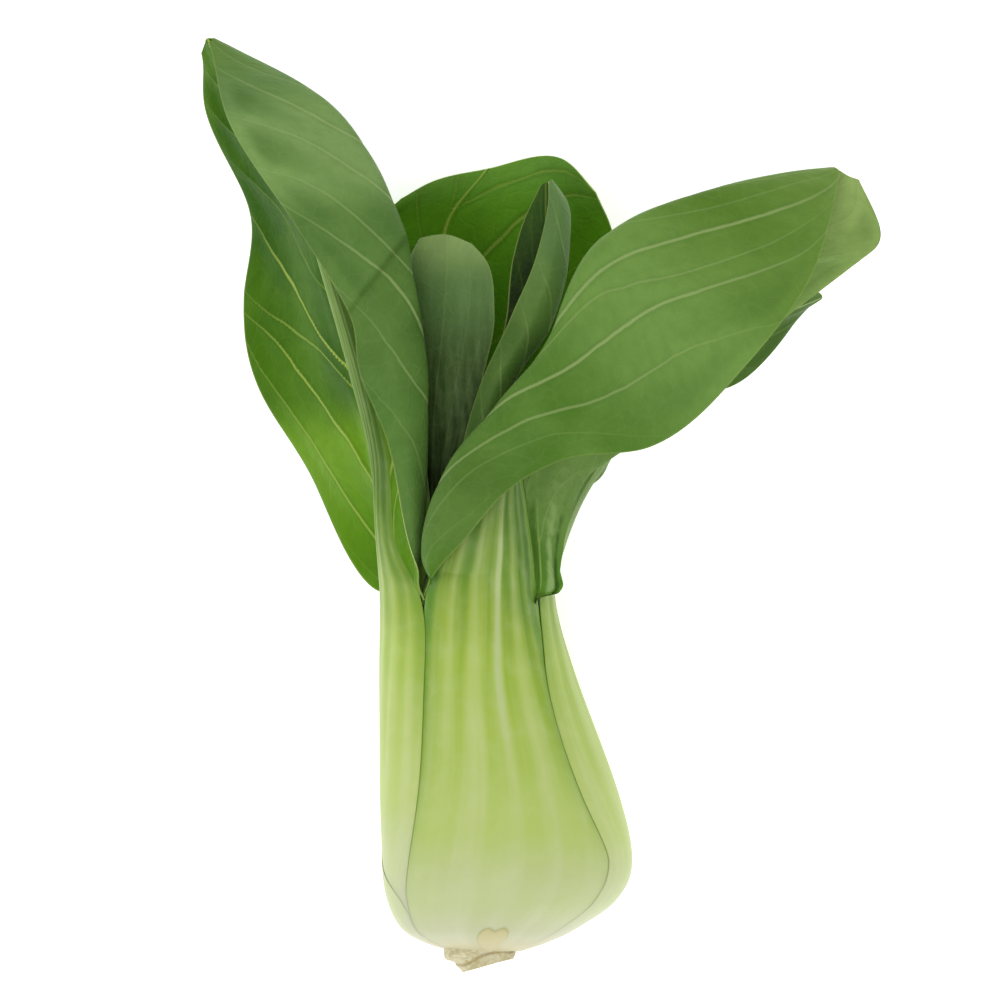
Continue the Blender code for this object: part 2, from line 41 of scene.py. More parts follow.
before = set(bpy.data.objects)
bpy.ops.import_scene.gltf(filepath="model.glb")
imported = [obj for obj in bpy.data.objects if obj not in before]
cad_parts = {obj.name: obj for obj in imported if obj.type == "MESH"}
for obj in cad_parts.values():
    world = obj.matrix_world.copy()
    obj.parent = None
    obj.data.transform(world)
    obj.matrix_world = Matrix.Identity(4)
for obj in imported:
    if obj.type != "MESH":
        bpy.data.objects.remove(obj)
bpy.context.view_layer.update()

MILLIMETRE = 0.001

# The head's outer form: distances along it, and there its sideways centre, its half width, its half depth,
# and how far ahead on the axis the layers under its surface are heading. Stalks are nested inside this form.
HEAD_ALONG = (-1.5, 0.5, 4.0, 11.0, 20.5, 37.5, 64.0, 83.5)
HEAD_CENTRE = (-4.9, -5.1, -4.3, -1.2, 0.0, -2.0, -6.9, -9.8)
HEAD_HALF_WIDTH = (8.5, 14.8, 21.3, 27.9, 30.4, 28.8, 23.9, 20.7)
HEAD_HALF_DEPTH = (7.6, 13.4, 19.2, 24.8, 27.0, 26.4, 23.8, 22.0)
HEAD_LEAD = (27.0, 25.0, 22.0, 15.0, 8.0, 3.0, 0.0, 0.0)
NECK = len(HEAD_ALONG) - 1
HEAD_LIFT = 26.1
# Rows of the fine mesh from the base to the neck.
HEAD_ROWS = 84

# A stalk's cross-section is a lens, thin at its rounded margins; it is thinner at the base and towards the
# neck, and turns round the head over the last rows below the neck.
STALK_EDGE = 0.24
LENS_POWER = 2.2
BASE_THINNING = 0.5
FULL_THICKNESS_ROWS = (3.0, 4.0)
TURNING_ROWS = 4.0
RIB_TURNING_ROWS = 1.4
# At the base all stalks have grown together: their margins and gaps open over these rows, from this share.
OPENING_ROWS = (1.5, 5.5)
CLOSED_SHARE = 0.04
# A margin may reach further round the head over these rows: the left one above the bulb, the right one low.
SWELL_ROWS = (4.0, 7.0)
SWELL_POWER = 1.3
SKIRT_ROWS = (2.4, 4.6)
# The share of half a stalk over which its margin is rounded, and the bend from which an edge looks sharp.
MARGIN_ROUNDING = 0.03
SHARP_FROM = math.radians(70)
# How much sooner the margins thin out where the stalks lie closed over each other.
CLOSED_THINNING = 1.0
# The columns of a stalk's mesh that lie this close to each margin, and where the even ones begin.
MARGIN_COLUMNS = (0.0, 0.006, 0.016, 0.03)
EVEN_COLUMNS = 0.94
# A stalk presses the next one in by its thickness and a gap, fading beyond its margins.
LAYER_GAP = 0.04
FULL_COVER = 1.02
COVER_FADE = 0.5
# Above the neck the stalk narrows into a midrib, which stands on the blade.
MIDRIB_WIDTH = 3.3
RIB_THICKNESS = 1.5
RIB_EDGE = 0.35
RIB_SUNK = 0.1
RISE_LENGTH = 16.0
RISE_MARGIN = 2.0
# The bend at the neck is eased over this many rows of the fine mesh, this many times.
NECK_EASING = 9
EASING_ROUNDS = 3
# Relief of the ribs along a stalk, and the distances along the head over which they grow.
RIB_RELIEF = 0.3
RIB_ONSET = (18.0, 70.0)
# The scar of a lost leaf stands this high; its rim fades over a share of its size, and its top has a notch.
SCAR_HEIGHT = 0.35
SCAR_FADE = 0.3
SCAR_NOTCH = 0.35
SCAR_NOTCH_WIDTH = 0.3
# The painted crevice shade beside a neighbour's margin fades over this distance.
CREVICE_SHADE_FADE = 2.4

# A blade's wings start tucked under the stalk, keep a least width, and widen above the neck over a taper.
WING_TUCK = 0.35
LEAST_WING = 0.7
WING_TAPER = 9.0
TABLE_CLEARANCE = 0.45
CROSS_SAMPLES = 420
# Its margins wave beyond an onset and ruffle up to an end, as shares of its length. On the right side both
# run ahead of the left side by a phase.
WAVE_ONSET = 0.25
RUFFLES = 4.3
RUFFLE_ONSET = 0.15
RUFFLE_END = 0.8
RUFFLE_FADE = 0.2
SIDE_PHASE = 0.37
RUFFLE_PHASE = 1.7 * SIDE_PHASE

# A blade is thin, thinner at its rim, ridged along its veins and bulged between them.
BLADE_THICKNESS = 0.55
RIM_THINNING = 0.45
RIM_TAPER = 2.5
LEAST_HEIGHT = 0.02
# The columns of its mesh that lie under the stalk.
BLADE_MIDDLE = 5
# Places over a half blade where each side vein's course is given; its relief sinks towards the margin.
VEIN_PLACES = (0.0, 0.25, 0.5, 0.75, 1.0)
VEIN_RELIEF = 0.16
VEIN_RELIEF_WIDTH = 1.1
VEIN_SINKING = 0.6
# Beyond the first and the last vein the count runs on over this share; the right half counts from a shift.
VEIN_END_STEP = 0.4
SIDE_VEIN_SHIFT = 20.0
# The least and the greatest distance that two side veins are taken to lie apart.
VEIN_SPACINGS = (1.0, 40.0)
# The bulges are full between veins this far apart, fade at the rim, the neck and the stalk, and vary.
QUILT_FULL = 12.0
QUILT_RIM = 6.0
QUILT_ONSET = 0.12
QUILT_FROM_RIB = 0.15
QUILT_WANDER = 6.6
QUILT_UNEVEN = 0.4
# A leaf's fold over itself begins at this share of the half blade, and is full a step further out.
CREASE_FROM = 0.35
CREASE_STEP = 0.15
# Long folds beside a stalk start below the neck, grow over a length, and end at a share of the blade.
FOLD_START = 2.0
FOLD_ONSET = 12.0
FOLD_END = 0.34
# A wing that flares beside the neck is widest this far above it, and lies over its neighbour further down.
FLARE_TOP = 5.0
FLARE_INSET = 1.8

# A heart leaf stands round the head's axis, which leans aside above the neck, and closes in to its tip.
HEART_SHIFT = 4.5
HEART_STATIONS = (0.2, 0.45, 0.7, 0.88, 1.0)
HEART_SPREAD = 72.0
HEART_TIP_SPREAD = 42.0
HEART_CLOSING = 0.35
HEART_ROUNDING = 0.1

# The stem's stub: its outline, how uneven and slanted its knife cut is, and the corky ring round it.
STUB_ALONG = (-5.0, -3.2, -1.9, -0.7, 2.0, 9.0)
STUB_RADIUS = (5.9, 6.9, 7.7, 9.4, 10.5, 7.0)
STUB_UNEVEN = (0.07, 0.05)
STUB_SLANT = 0.28
STUB_RING_ALONG = -2.6
STUB_RING_WANDER = 0.5
STUB_RING_SIZE = 0.35
STUB_SIDES = 96
STUB_ROWS = 60

# Where the head's own frame sits in the model: the middle of the model's box, on the table.
ORIGIN = np.array((8.4, 106.9, 0.0))


def even_veins(count, strength=0.3):
    """Side veins of a half blade at even steps: each has its strength, and the share of the blade's
    length that it has reached at each of the VEIN_PLACES from the midrib to the margin."""
    first = 0.02
    spread = 0.86
    rise = (0.0, 0.09, 0.17, 0.24, 0.29)
    return tuple(
        (strength, *(first + spread * i / (count - 1) + step for step in rise)) for i in range(count)
    )


PLAIN_VEINS = (even_veins(7), even_veins(7))
# Ribs along a stalk: each has its place across it from -1 to 1, its width there, and its strength.
PLAIN_RIBS = (
    (-0.8, 0.08, 0.5),
    (-0.5, 0.12, 0.6),
    (-0.22, 0.08, 0.45),
    (0.0, 0.08, 0.7),
    (0.26, 0.1, 0.6),
    (0.55, 0.1, 0.5),
    (0.82, 0.08, 0.5),
)
# What a leaf has unless its own form says otherwise.
PLAIN_FORM = {
    "gap": LAYER_GAP,
    "neck_rib": 0.0,
    "swell": 0.0,
    "skirt": 0.0,
    "ribs": PLAIN_RIBS,
    "veins": PLAIN_VEINS,
    "ruffle": (0.0, 0.0),
    "folds": (),
    "crease": None,
    "flare": None,
    "scar": None,
}


def linear(hex_colour):
    """An sRGB hex colour as the linear red, green and blue that shaders take."""
    parts = [int(hex_colour[i : i + 2], 16) / 255 for i in (1, 3, 5)]
    return tuple(p / 12.92 if p <= 0.04045 else ((p + 0.055) / 1.055) ** 2.4 for p in parts)


def smooth(value, low=0.0, high=1.0):
    """Ease from 0 to 1 as value runs from low to high."""
    share = np.clip((value - low) / (high - low), 0.0, 1.0)
    return share * share * (3.0 - 2.0 * share)


def spline(points, places, at):
    """Read, at the given positions, the smooth curve that meets each point at its place."""
    points = np.asarray(points, float)
    places = np.asarray(places, float)
    at = np.asarray(at, float)
    slopes = np.gradient(points, places, axis=0)
    cell = np.clip(np.searchsorted(places, at, side="right") - 1, 0, len(places) - 2)
    span = places[cell + 1] - places[cell]
    t = (at - places[cell]) / span
    if points.ndim > 1:
        span = span[:, None]
        t = t[:, None]
    start, end = points[cell], points[cell + 1]
    lead, trail = slopes[cell] * span, slopes[cell + 1] * span
    return (
        start * (1 + 2 * t) * (1 - t) ** 2
        + lead * t * (1 - t) ** 2
        + end * t * t * (3 - 2 * t)
        - trail * t * t * (1 - t)
    )


def run_along(points):
    """The distance run along a line of points, at each of them."""
    steps = np.linalg.norm(np.diff(points, axis=0), axis=1)
    return np.concatenate([[0.0], np.cumsum(steps)])


def half_places(left, middle, right):
    """The place of each column over its half of the blade: 0 on the stalk, 1 at a margin."""
    return np.concatenate([np.linspace(1, 0, left), np.zeros(middle), np.linspace(0, 1, right)])


def head_value(values, row):
    """One of the head's listed measures at a fractional row of the list."""
    return spline(values, range(len(values)), np.atleast_1d(row).astype(float))


def head_point(angle, row, depth):
    """The point at an angle round the head, at a row along it and at a depth under its outer form."""
    angle, row, depth = np.broadcast_arrays(angle, row, depth)
    shape = angle.shape
    row = row.ravel()
    turn = np.radians(angle.ravel())
    along = head_value(HEAD_ALONG, row)
    centre = head_value(HEAD_CENTRE, row)
    reach = head_value(HEAD_HALF_WIDTH, row)
    height = head_value(HEAD_HALF_DEPTH, row)
    lead = head_value(HEAD_LEAD, row)
    axis = np.stack([centre, along + lead, np.full_like(along, HEAD_LIFT)], axis=1)
    outer = np.stack([centre + reach * np.cos(turn), along, HEAD_LIFT + height * np.sin(turn)], axis=1)
    inward = axis - outer
    inward /= np.linalg.norm(inward, axis=1, keepdims=True)
    return (outer + inward * depth.ravel()[:, None]).reshape(shape + (3,))


class Leaf:
    """One leaf: its place in the nested stalks, and the lines along its blade from the left margin to the
    right one, looking at its outer side with the tip up. Each line has one point for each station."""

    def __init__(self, name, lines, **form):
        form = {**PLAIN_FORM, **form}
        self.name = name
        self.lines = [np.array(line, float) for line in lines]
        # Columns of the mesh on its left wing, its stalk and its right wing, and rows above the neck.
        self.counts = form["counts"]
        # At the bulb and at the neck: where its middle faces, half its width in degrees, and how thick it is.
        self.angles = form["angles"]
        self.spans = form["spans"]
        self.thickness = form["thickness"]
        # Which line is the midrib, and where across the stalk each line starts.
        self.midrib = form["midrib"]
        self.starts = form["starts"]
        # Widths of the stalk at the stations, left and right of the midrib, and the share at which it ends.
        self.stalk_widths = form["stalk_widths"]
        self.rib_end = form["rib_end"]
        # Height, count and start of the waves along the margins, and height of the ruffles left and right.
        self.wave = form["wave"]
        self.ruffle = form["ruffle"]
        # How far the blade bulges between its side veins, and those veins left and right of the midrib.
        self.quilt = form["quilt"]
        self.veins = form["veins"]
        self.ribs = form["ribs"]
        self.gap = form["gap"]
        self.neck_rib = form["neck_rib"]
        self.swell = form["swell"]
        self.base_skirt = form["skirt"]
        self.flare = form["flare"]
        self.folds = form["folds"]
        self.crease = form["crease"]
        self.scar = form["scar"]
        self.outside = []

    @staticmethod
    def turning(bulb_and_neck, row):
        """A value that keeps its bulb size up to the last rows and eases into its neck size over them."""
        bulb, neck = bulb_and_neck
        return bulb + (neck - bulb) * smooth((row - NECK + TURNING_ROWS) / TURNING_ROWS)

    def widening(self, row):
        """How much further, in degrees, the left margin reaches round the head above the bulb."""
        first, last = SWELL_ROWS
        share = np.clip((row - first) / (last - first), 0, 1)
        return self.swell * np.sin(share * math.pi) ** SWELL_POWER

    def skirt(self, row):
        """How much further, in degrees, the right margin reaches round the head low on the bulb."""
        return self.base_skirt * (1 - smooth(row, *SKIRT_ROWS))

    def angle(self, row):
        """The direction that the stalk's middle faces, in degrees round the head."""
        return self.turning(self.angles, row) + (self.widening(row) - self.skirt(row)) / 2

    def span(self, row):
        """Half the stalk's width, in degrees round the head."""
        return self.turning(self.spans, row) + (self.widening(row) + self.skirt(row)) / 2

    def direction(self, across, row):
        """The angle round the head of a place across the stalk, in degrees."""
        return self.angle(row) - across * self.span(row)

    def across_at(self, column, row):
        """The place across the stalk of a column that is -1 and 1 at its margins and 0 on the midrib,
        which leaves the stalk's middle close to the neck."""
        rib = self.neck_rib * np.clip((row - NECK) / RIB_TURNING_ROWS + 1, 0, 1) ** 2
        return np.where(column < 0, rib + column * (1 + rib), rib + column * (1 - rib))

    def middle_thickness(self, row):
        """How thick the stalk is in its middle."""
        first, last = FULL_THICKNESS_ROWS
        swell = BASE_THINNING + (1 - BASE_THINNING) * smooth(row / first)
        taper = smooth(row, last, NECK)
        return swell * (self.thickness[0] + (self.thickness[1] - self.thickness[0]) * taper)

    @staticmethod
    def opening(row):
        """How far the stalks have come apart, up to 1."""
        return CLOSED_SHARE + (1 - CLOSED_SHARE) * smooth(row, *OPENING_ROWS)

    def lens(self, across, row):
        """The stalk's thickness at a place across it: full in the middle, thin at both margins."""
        opening = self.opening(row)
        bulge = np.clip(1 - np.abs(across) ** LENS_POWER, 0, 1) ** (1 + CLOSED_THINNING * (1 - opening))
        edge = STALK_EDGE * opening
        return edge + (self.middle_thickness(row) - edge) * bulge

    def off_margins(self, angle, row):
        """The place across this stalk of an angle round the head, beyond 1 when it is off the stalk."""
        return np.abs((angle - self.angle(row) + 180.0) % 360.0 - 180.0) / self.span(row)

    def cover(self, angle, row):
        """How deep this stalk and the gap under it push whatever lies further in, at that angle."""
        across = self.off_margins(angle, row)
        fade = 1 - smooth((across - FULL_COVER) / COVER_FADE)
        return (self.lens(across, row) + self.gap * self.opening(row)) * fade

    def depth(self, angle, row):
        """How deep the stalks outside this one push it in, at an angle round the head."""
        return sum((leaf.cover(angle, row) for leaf in self.outside), np.zeros(np.shape(angle)))

    def crevice_shade(self, column, row):
        """How close a place of the stalk lies to the margin of a stalk over it, from 0 to 1: how much painted
        crevice shade it gets.
        """
        angle = self.direction(self.across_at(column, row), row)
        radius = float(head_value(HEAD_HALF_WIDTH, row)[0])
        close = np.zeros_like(angle)
        for leaf in self.outside:
            away = (leaf.off_margins(angle, row) - 1) * math.radians(leaf.span(row)) * radius
            close = np.maximum(close, np.exp(-np.maximum(away, 0.0) / CREVICE_SHADE_FADE))
        return close

    def stalk_point(self, column, row, sunk, raised):
        """A point of the nested stalk; sunk is 0 on its outer face and 1 on its inner face."""
        across = self.across_at(column, row)
        angle = self.direction(across, row)
        depth = self.depth(angle, row) + sunk * self.lens(across, row) - raised
        return head_point(angle, np.full_like(angle, row), depth)

    def neck_points(self, across, row):
        """Places of the nested stalk at one row, lying half an edge above its inner face."""
        angle = self.direction(across, row)
        depth = self.depth(angle, row) + self.lens(across, row) - STALK_EDGE / 2
        return head_point(angle, np.full_like(angle, float(row)), depth)

    def stations(self):
        """Every line's points from just below the neck to the tip, and each station's distance along."""
        starts = np.array(self.starts, float)
        below, neck = (self.neck_points(self.across_at(starts, row), row) for row in (NECK - 1, NECK))
        rest = np.stack(self.lines, axis=1)
        points = np.concatenate([below[None], neck[None], rest])
        along = run_along(points[:, self.midrib])
        return points, along - along[1]

    def stalk_reach(self):
        """The lengths of the neck's arc from the midrib to the stalk's left and right margins."""
        across = self.across_at(np.linspace(-1, 1, 2 * CROSS_SAMPLES + 1), NECK)
        steps = np.linalg.norm(np.diff(self.neck_points(across, NECK), axis=0), axis=1)
        return steps[:CROSS_SAMPLES].sum(), steps[CROSS_SAMPLES:].sum()

    def surface(self, left, middle, right, rows, start=0.0):
        """The leaf's sheet from a distance above the neck as a grid of points and outward normals. Its
        columns run from the left margin to the stalk, across the stalk, and on to the right margin."""
        points, along = self.stations()
        at = np.linspace(start, along[-1], rows)
        widths = [
            spline((reach, reach) + further, along, at)
            for reach, further in zip(self.stalk_reach(), self.stalk_widths)
        ]
        lines = np.stack([spline(points[:, i], along, at) for i in range(points.shape[1])], axis=1)
        grid = np.empty((rows, left + middle + right, 3))
        for i, crossing in enumerate(lines):
            grid[i] = self.cross_points(crossing, (widths[0][i], widths[1][i]), (left, middle, right), at[i])
        share = at / along[-1]
        height, count, phase = self.wave
        outer = half_places(left, middle, right)
        side = np.concatenate([np.zeros(left + middle), np.ones(right)])
        wave = np.sin(2 * math.pi * (count * share[:, None] + phase + SIDE_PHASE * side[None]))
        rise = smooth(share / WAVE_ONSET)[:, None] * height * outer[None] ** 2 * wave
        ruffle = np.sin(2 * math.pi * (RUFFLES * share[:, None] + RUFFLE_PHASE * side[None]))
        amount = np.where(side > 0, self.ruffle[1], self.ruffle[0])
        fade = smooth(share / RUFFLE_ONSET) * (1 - smooth((share - RUFFLE_END) / RUFFLE_FADE))
        rise += fade[:, None] * amount[None] * outer[None] ** 2.5 * ruffle
        grid = grid + self.normals(grid) * rise[..., None]
        grid[..., 2] = np.maximum(grid[..., 2], TABLE_CLEARANCE)
        return grid, self.normals(grid), at, widths

    @staticmethod
    def normals(grid):
        """The outward direction at each point of a grid."""
        found = np.cross(np.gradient(grid, axis=1), np.gradient(grid, axis=0))
        return found / np.maximum(np.linalg.norm(found, axis=2, keepdims=True), 1e-9)

    def flared(self, at):
        """How far the right wing reaches past its line, near the neck."""
        if self.flare is None:
            return 0.0
        width, fade = self.flare["width"], self.flare["fade"]
        return float(width * smooth(at / FLARE_TOP) * (1 - smooth((at - FLARE_TOP) / fade)))

    def cross_points(self, crossing, stalk, counts, at):
        """The points of one row, spaced along the smooth curve through the lines' points there."""
        left, middle, right = counts
        places = run_along(crossing)
        dense_at = np.linspace(0, places[-1], CROSS_SAMPLES)
        dense = spline(crossing, places, dense_at)
        run = run_along(dense)
        run -= np.interp(places[self.midrib], dense_at, run)
        taper = float(smooth(at / WING_TAPER))
        left_width = min(stalk[0], -run[0] - LEAST_WING)
        right_width = min(stalk[1], run[-1] - LEAST_WING)
        left_end = -left_width + taper * (run[0] + left_width)
        right_start = right_width - WING_TUCK
        if self.flare:
            taper = float(smooth((at + self.flare["drop"]) / (self.flare["drop"] + FLARE_TOP)))
            right_start -= FLARE_INSET * float(smooth(-at / FLARE_TOP))
        right_end = right_width + taper * (run[-1] - right_width) + self.flared(at)
        rib = stalk_columns(middle)
        spots = np.concatenate(
            [
                np.linspace(left_end, -left_width + WING_TUCK, left),
                np.where(rib < 0, rib * left_width, rib * right_width),
                np.linspace(right_start, right_end, right),
            ]
        )
        points = np.stack([np.interp(spots, run, dense[:, k]) for k in range(3)], axis=1)
        if self.flare:
            past = np.maximum(spots - run[-1], 0.0)
            points += past[:, None] * np.array(self.flare["direction"])
            wing = np.clip((spots - right_width) / (right_end - right_width), 0, 1)
            wing[left + middle :] += (1 - wing[left + middle :]) * float(smooth(-at / FLARE_TOP))
            lift = self.flare["lift"] * (1 - float(smooth((at + FLARE_TOP) / self.flare["fade"])))
            points[:, 2] += lift * wing
        return points

    @staticmethod
    def joining_row(widths):
        """The first row where the stalk is narrow enough to be a midrib lying on the whole blade."""
        return int(np.argmax(widths[0] + widths[1] < 2 * MIDRIB_WIDTH))

    def rib_heights(self, across, at, join_at, end):
        """The stalk's outer and inner heights over the sheet, at one row above the neck."""
        taper = smooth(at / end)
        middle = self.thickness[1] + (RIB_THICKNESS - self.thickness[1]) * taper
        edge = STALK_EDGE + (RIB_EDGE - STALK_EDGE) * taper
        step = smooth((at - join_at + RISE_LENGTH) / (RISE_LENGTH - RISE_MARGIN))
        inner = -STALK_EDGE / 2 + (STALK_EDGE / 2 - RIB_SUNK) * step
        bulge = np.clip(1 - np.abs(across) ** LENS_POWER, 0, 1)
        return inner + edge + (middle - edge) * bulge, np.full_like(across, inner)

    def rib_pattern(self, across, along):
        """How much of a pale raised rib there is at a place of the stalk, from 0 to 1."""
        found = np.zeros(np.broadcast(across, along).shape)
        for place, width, strength in self.ribs:
            found = np.maximum(found, strength * np.exp(-(((across - place) / width) ** 2)))
        return found * smooth(along, *RIB_ONSET)

    def scarred(self, across, along):
        """How much of the corky scar of a lost leaf there is at a place of the stalk, from 0 to 1."""
        if self.scar is None:
            return np.zeros_like(across)
        column, height, width, length = self.scar
        off = np.hypot((across - column) / width, (along - height) / length)
        notch = np.exp(-(((across - column) / (SCAR_NOTCH_WIDTH * width)) ** 2)) * (along > height)
        return smooth((1 + SCAR_FADE / 2 - off - SCAR_NOTCH * notch) / SCAR_FADE)

    def stalk_mesh(self):
        """The stalk's closed mesh from its base to the end of its midrib, with its own coordinates."""
        left, middle, right, rows = self.counts
        across = stalk_columns(middle)
        lip = np.clip((np.abs(across) - 1 + MARGIN_ROUNDING) / MARGIN_ROUNDING, 0, 1)
        lip = (1 - np.sqrt(1 - lip**2)) * STALK_EDGE / 2
        rings, place, crevice_shades, scars = [], [], [], []
        for row in np.linspace(0, NECK, HEAD_ROWS + 1)[:-1]:
            along = float(head_value(HEAD_ALONG, row)[0])
            rounding = lip * self.opening(row)
            raised = RIB_RELIEF * self.rib_pattern(across, along) - rounding
            scars.append(self.scarred(across, along))
            raised += SCAR_HEIGHT * scars[-1]
            outer = self.stalk_point(across, row, 0.0, raised)
            rings.append((outer, self.stalk_point(across, row, 1.0, rounding)))
            place.append(along)
            crevice_shades.append(self.crevice_shade(across, row))
        grid, normals, at, widths = self.surface(left, middle, right, rows)
        join = self.joining_row(widths)
        last = max(join + 2, int(round(self.rib_end * (rows - 1))))
        for i in range(last + 1):
            points, up = grid[i, left : left + middle], normals[i, left : left + middle]
            outer, inner = self.rib_heights(across, at[i], at[join], at[last])
            thin = 1 - smooth(at[i] / at[last])
            outer += RIB_RELIEF * self.rib_pattern(across, HEAD_ALONG[-1] + at[i]) * thin - lip * thin
            inner += lip * thin
            rings.append((points + up * outer[:, None], points + up * inner[:, None]))
            place.append(HEAD_ALONG[-1] + at[i])
            crevice_shades.append(crevice_shades[HEAD_ROWS - 1] * (1 - smooth(at[i] / WING_TAPER)))
        outer = ease_neck(np.stack([ring[0] for ring in rings]))
        inner = ease_neck(np.stack([ring[1] for ring in rings]))
        points = np.concatenate([outer, inner[:, ::-1]], axis=1)
        points[..., 2] = np.maximum(points[..., 2], 0.0)
        size = 2 * middle
        plain = np.zeros((len(rings), middle))
        scar = np.concatenate([scars, plain[HEAD_ROWS:]])
        ribs = self.rib_pattern(across[None], np.array(place)[:, None])
        values = {
            "across": np.tile(np.concatenate([across, across[::-1]]), len(rings)),
            "along": np.repeat(place, size),
            "rib": np.concatenate([ribs, plain], axis=1).ravel(),
            "crevice_shade": np.concatenate([np.array(crevice_shades), plain], axis=1).ravel(),
            "scar": np.concatenate([scar, plain], axis=1).ravel(),
        }
        return points.reshape(-1, 3), ring_faces(len(rings), size), values

    @staticmethod
    def vein_phase(reach, half, veins):
        """Counts the side veins passed at each place of a half blade: whole numbers lie on a vein. The
        second value is the strength of the vein that is nearest there."""
        found = np.empty((len(reach), len(half)))
        courses = np.array([vein[1:] for vein in veins])
        courses = np.stack([spline(course, VEIN_PLACES, half) for course in courses])
        courses = np.concatenate([courses[:1] - VEIN_END_STEP, courses, courses[-1:] + VEIN_END_STEP])
        courses = np.maximum.accumulate(courses + np.arange(len(courses))[:, None] * 1e-3, axis=0)
        for j in range(len(half)):
            found[:, j] = np.interp(reach, courses[:, j], np.arange(len(courses)))
        strengths = np.array([0.0] + [vein[0] for vein in veins] + [0.0])
        return found, strengths[np.round(found).astype(int)]

    def folded(self, grid, half):
        """The rise of the upper part of a blade that lies folded over the lower part of its right half,
        and how much of the upper part there is at each place, from 0 to 1."""
        (ax, ay), (bx, by) = self.crease["line"]
        length = math.hypot(bx - ax, by - ay)
        past = ((grid[..., 0] - ax) * (by - ay) - (grid[..., 1] - ay) * (bx - ax)) / length
        beyond = smooth((half - CREASE_FROM) / CREASE_STEP)[None]
        upper = smooth(past / self.crease["edge"] + 0.5) * beyond
        return self.crease["height"] * upper * (1 - smooth(past / self.crease["fade"])), upper

    def vein_net(self, reach, half, left):
        """The side veins counted at each place of both halves, and the strength of the nearest one."""
        sides = (half[:left], self.veins[0]), (half[left:], self.veins[1])
        (left_phase, left_bold), (phase, bold) = (self.vein_phase(reach, *side) for side in sides)
        return np.hstack([left_phase, phase + SIDE_VEIN_SHIFT]), np.hstack([left_bold, bold])

    @staticmethod
    def quilted(phase, between, spacing, rim, reach, half):
        """How far a blade bulges between its side veins at each place, from 0 to 1."""
        bulge = (1 - between**2) * np.minimum(1, spacing / QUILT_FULL) * smooth(half / QUILT_FROM_RIB)[None]
        bulge *= smooth(rim / QUILT_RIM) * smooth(reach / QUILT_ONSET)[:, None]
        wander = np.sin(QUILT_WANDER * (half[None] + np.floor(phase)))
        return bulge * (1 - QUILT_UNEVEN + QUILT_UNEVEN * wander)

    def long_folds(self, at, reach, half, first):
        """How much of each long fold beside the stalk there is at each place of the right half."""
        fade = smooth((at + FOLD_START) / FOLD_ONSET) * (1 - smooth(reach / FOLD_END))
        found = {}
        for number, (place, width, _) in enumerate(self.folds):
            fold = np.exp(-(((half - place) / width) ** 2))
            fold[:first] = 0
            found[f"fold_{number}"] = fade[:, None] * fold[None]
        return found

    def blade_mesh(self):
        """The blade as a thin closed mesh with vein relief, and the leaf's own coordinates on it."""
        left, _, right, rows = self.counts
        start = -self.flare["drop"] if self.flare else 0.0
        grid, normals, at, widths = self.surface(left, BLADE_MIDDLE, right, rows, start)
        reach = np.maximum(at / at[-1], 0)
        columns = left + BLADE_MIDDLE + right
        half = half_places(left, BLADE_MIDDLE, right)
        phase, bold = self.vein_net(reach, half, left)
        stalk = slice(left, left + BLADE_MIDDLE)
        spacing = vein_spacing(grid, phase)
        across_run = run_length(grid, 1)
        across_run -= across_run[:, left + BLADE_MIDDLE // 2][:, None]
        along_run = run_length(grid, 0)
        rim = np.minimum(across_run - across_run[:, :1], across_run[:, -1:] - across_run)
        rim = np.minimum(rim, (along_run[-1:] - along_run) + 1.0)
        between = np.abs(np.mod(phase, 1.0) - 0.5) * 2
        bulge = self.quilted(phase, between, spacing, rim, reach, half)
        bulge[:, stalk] = 0
        folds = self.long_folds(at, reach, half, left + BLADE_MIDDLE)
        for fold, (_, _, height) in zip(folds.values(), self.folds):
            grid = grid + normals * (height * fold)[..., None]
        upper = np.zeros((rows, columns))
        if self.crease:
            right_half = np.where(np.arange(columns) < left, 0.0, half)
            rise, upper = self.folded(grid, right_half)
            grid[..., 2] += rise
        grid = grid - normals * (self.quilt * bulge)[..., None]
        vein = np.clip(1 - (1 - between) * spacing / 2 / VEIN_RELIEF_WIDTH, 0, 1)
        vein = vein * (1 - VEIN_SINKING * half)[None]
        vein[:, stalk] = 0
        thickness = BLADE_THICKNESS * (1 - RIM_THINNING + RIM_THINNING * smooth(rim / RIM_TAPER))
        outer = grid + normals * (thickness / 2 + VEIN_RELIEF * bold * smooth(vein))[..., None]
        inner = grid - normals * (thickness / 2)[..., None]
        for face in (outer, inner):
            face[..., 2] = np.maximum(face[..., 2], LEAST_HEIGHT)
        quads = sheet_quads(rows, columns, left, BLADE_MIDDLE, self.joining_row(widths))
        points, faces, kinds = thick_sheet(outer.reshape(-1, 3), inner.reshape(-1, 3), quads)
        stored = {
            "vein": phase,
            "bold": bold,
            "gap": spacing,
            "half": half[None],
            "reach": reach[:, None],
            "rim": rim,
            "side": across_run,
            "run": along_run,
            "upper": upper,
            "quilted": bulge,
            **folds,
        }
        for name, value in stored.items():
            stored[name] = np.tile(np.broadcast_to(value, (rows, columns)).ravel(), 2)
        return points, faces, kinds, stored


def stalk_columns(count):
    """Places across a stalk from margin to margin, closer together at the margins of a fine one."""
    if count <= BLADE_MIDDLE:
        return np.linspace(-1, 1, count)
    side = 1 - np.array(MARGIN_COLUMNS)
    even = np.linspace(-EVEN_COLUMNS, EVEN_COLUMNS, count - 2 * len(side))
    return np.concatenate([-side, even, side[::-1]])


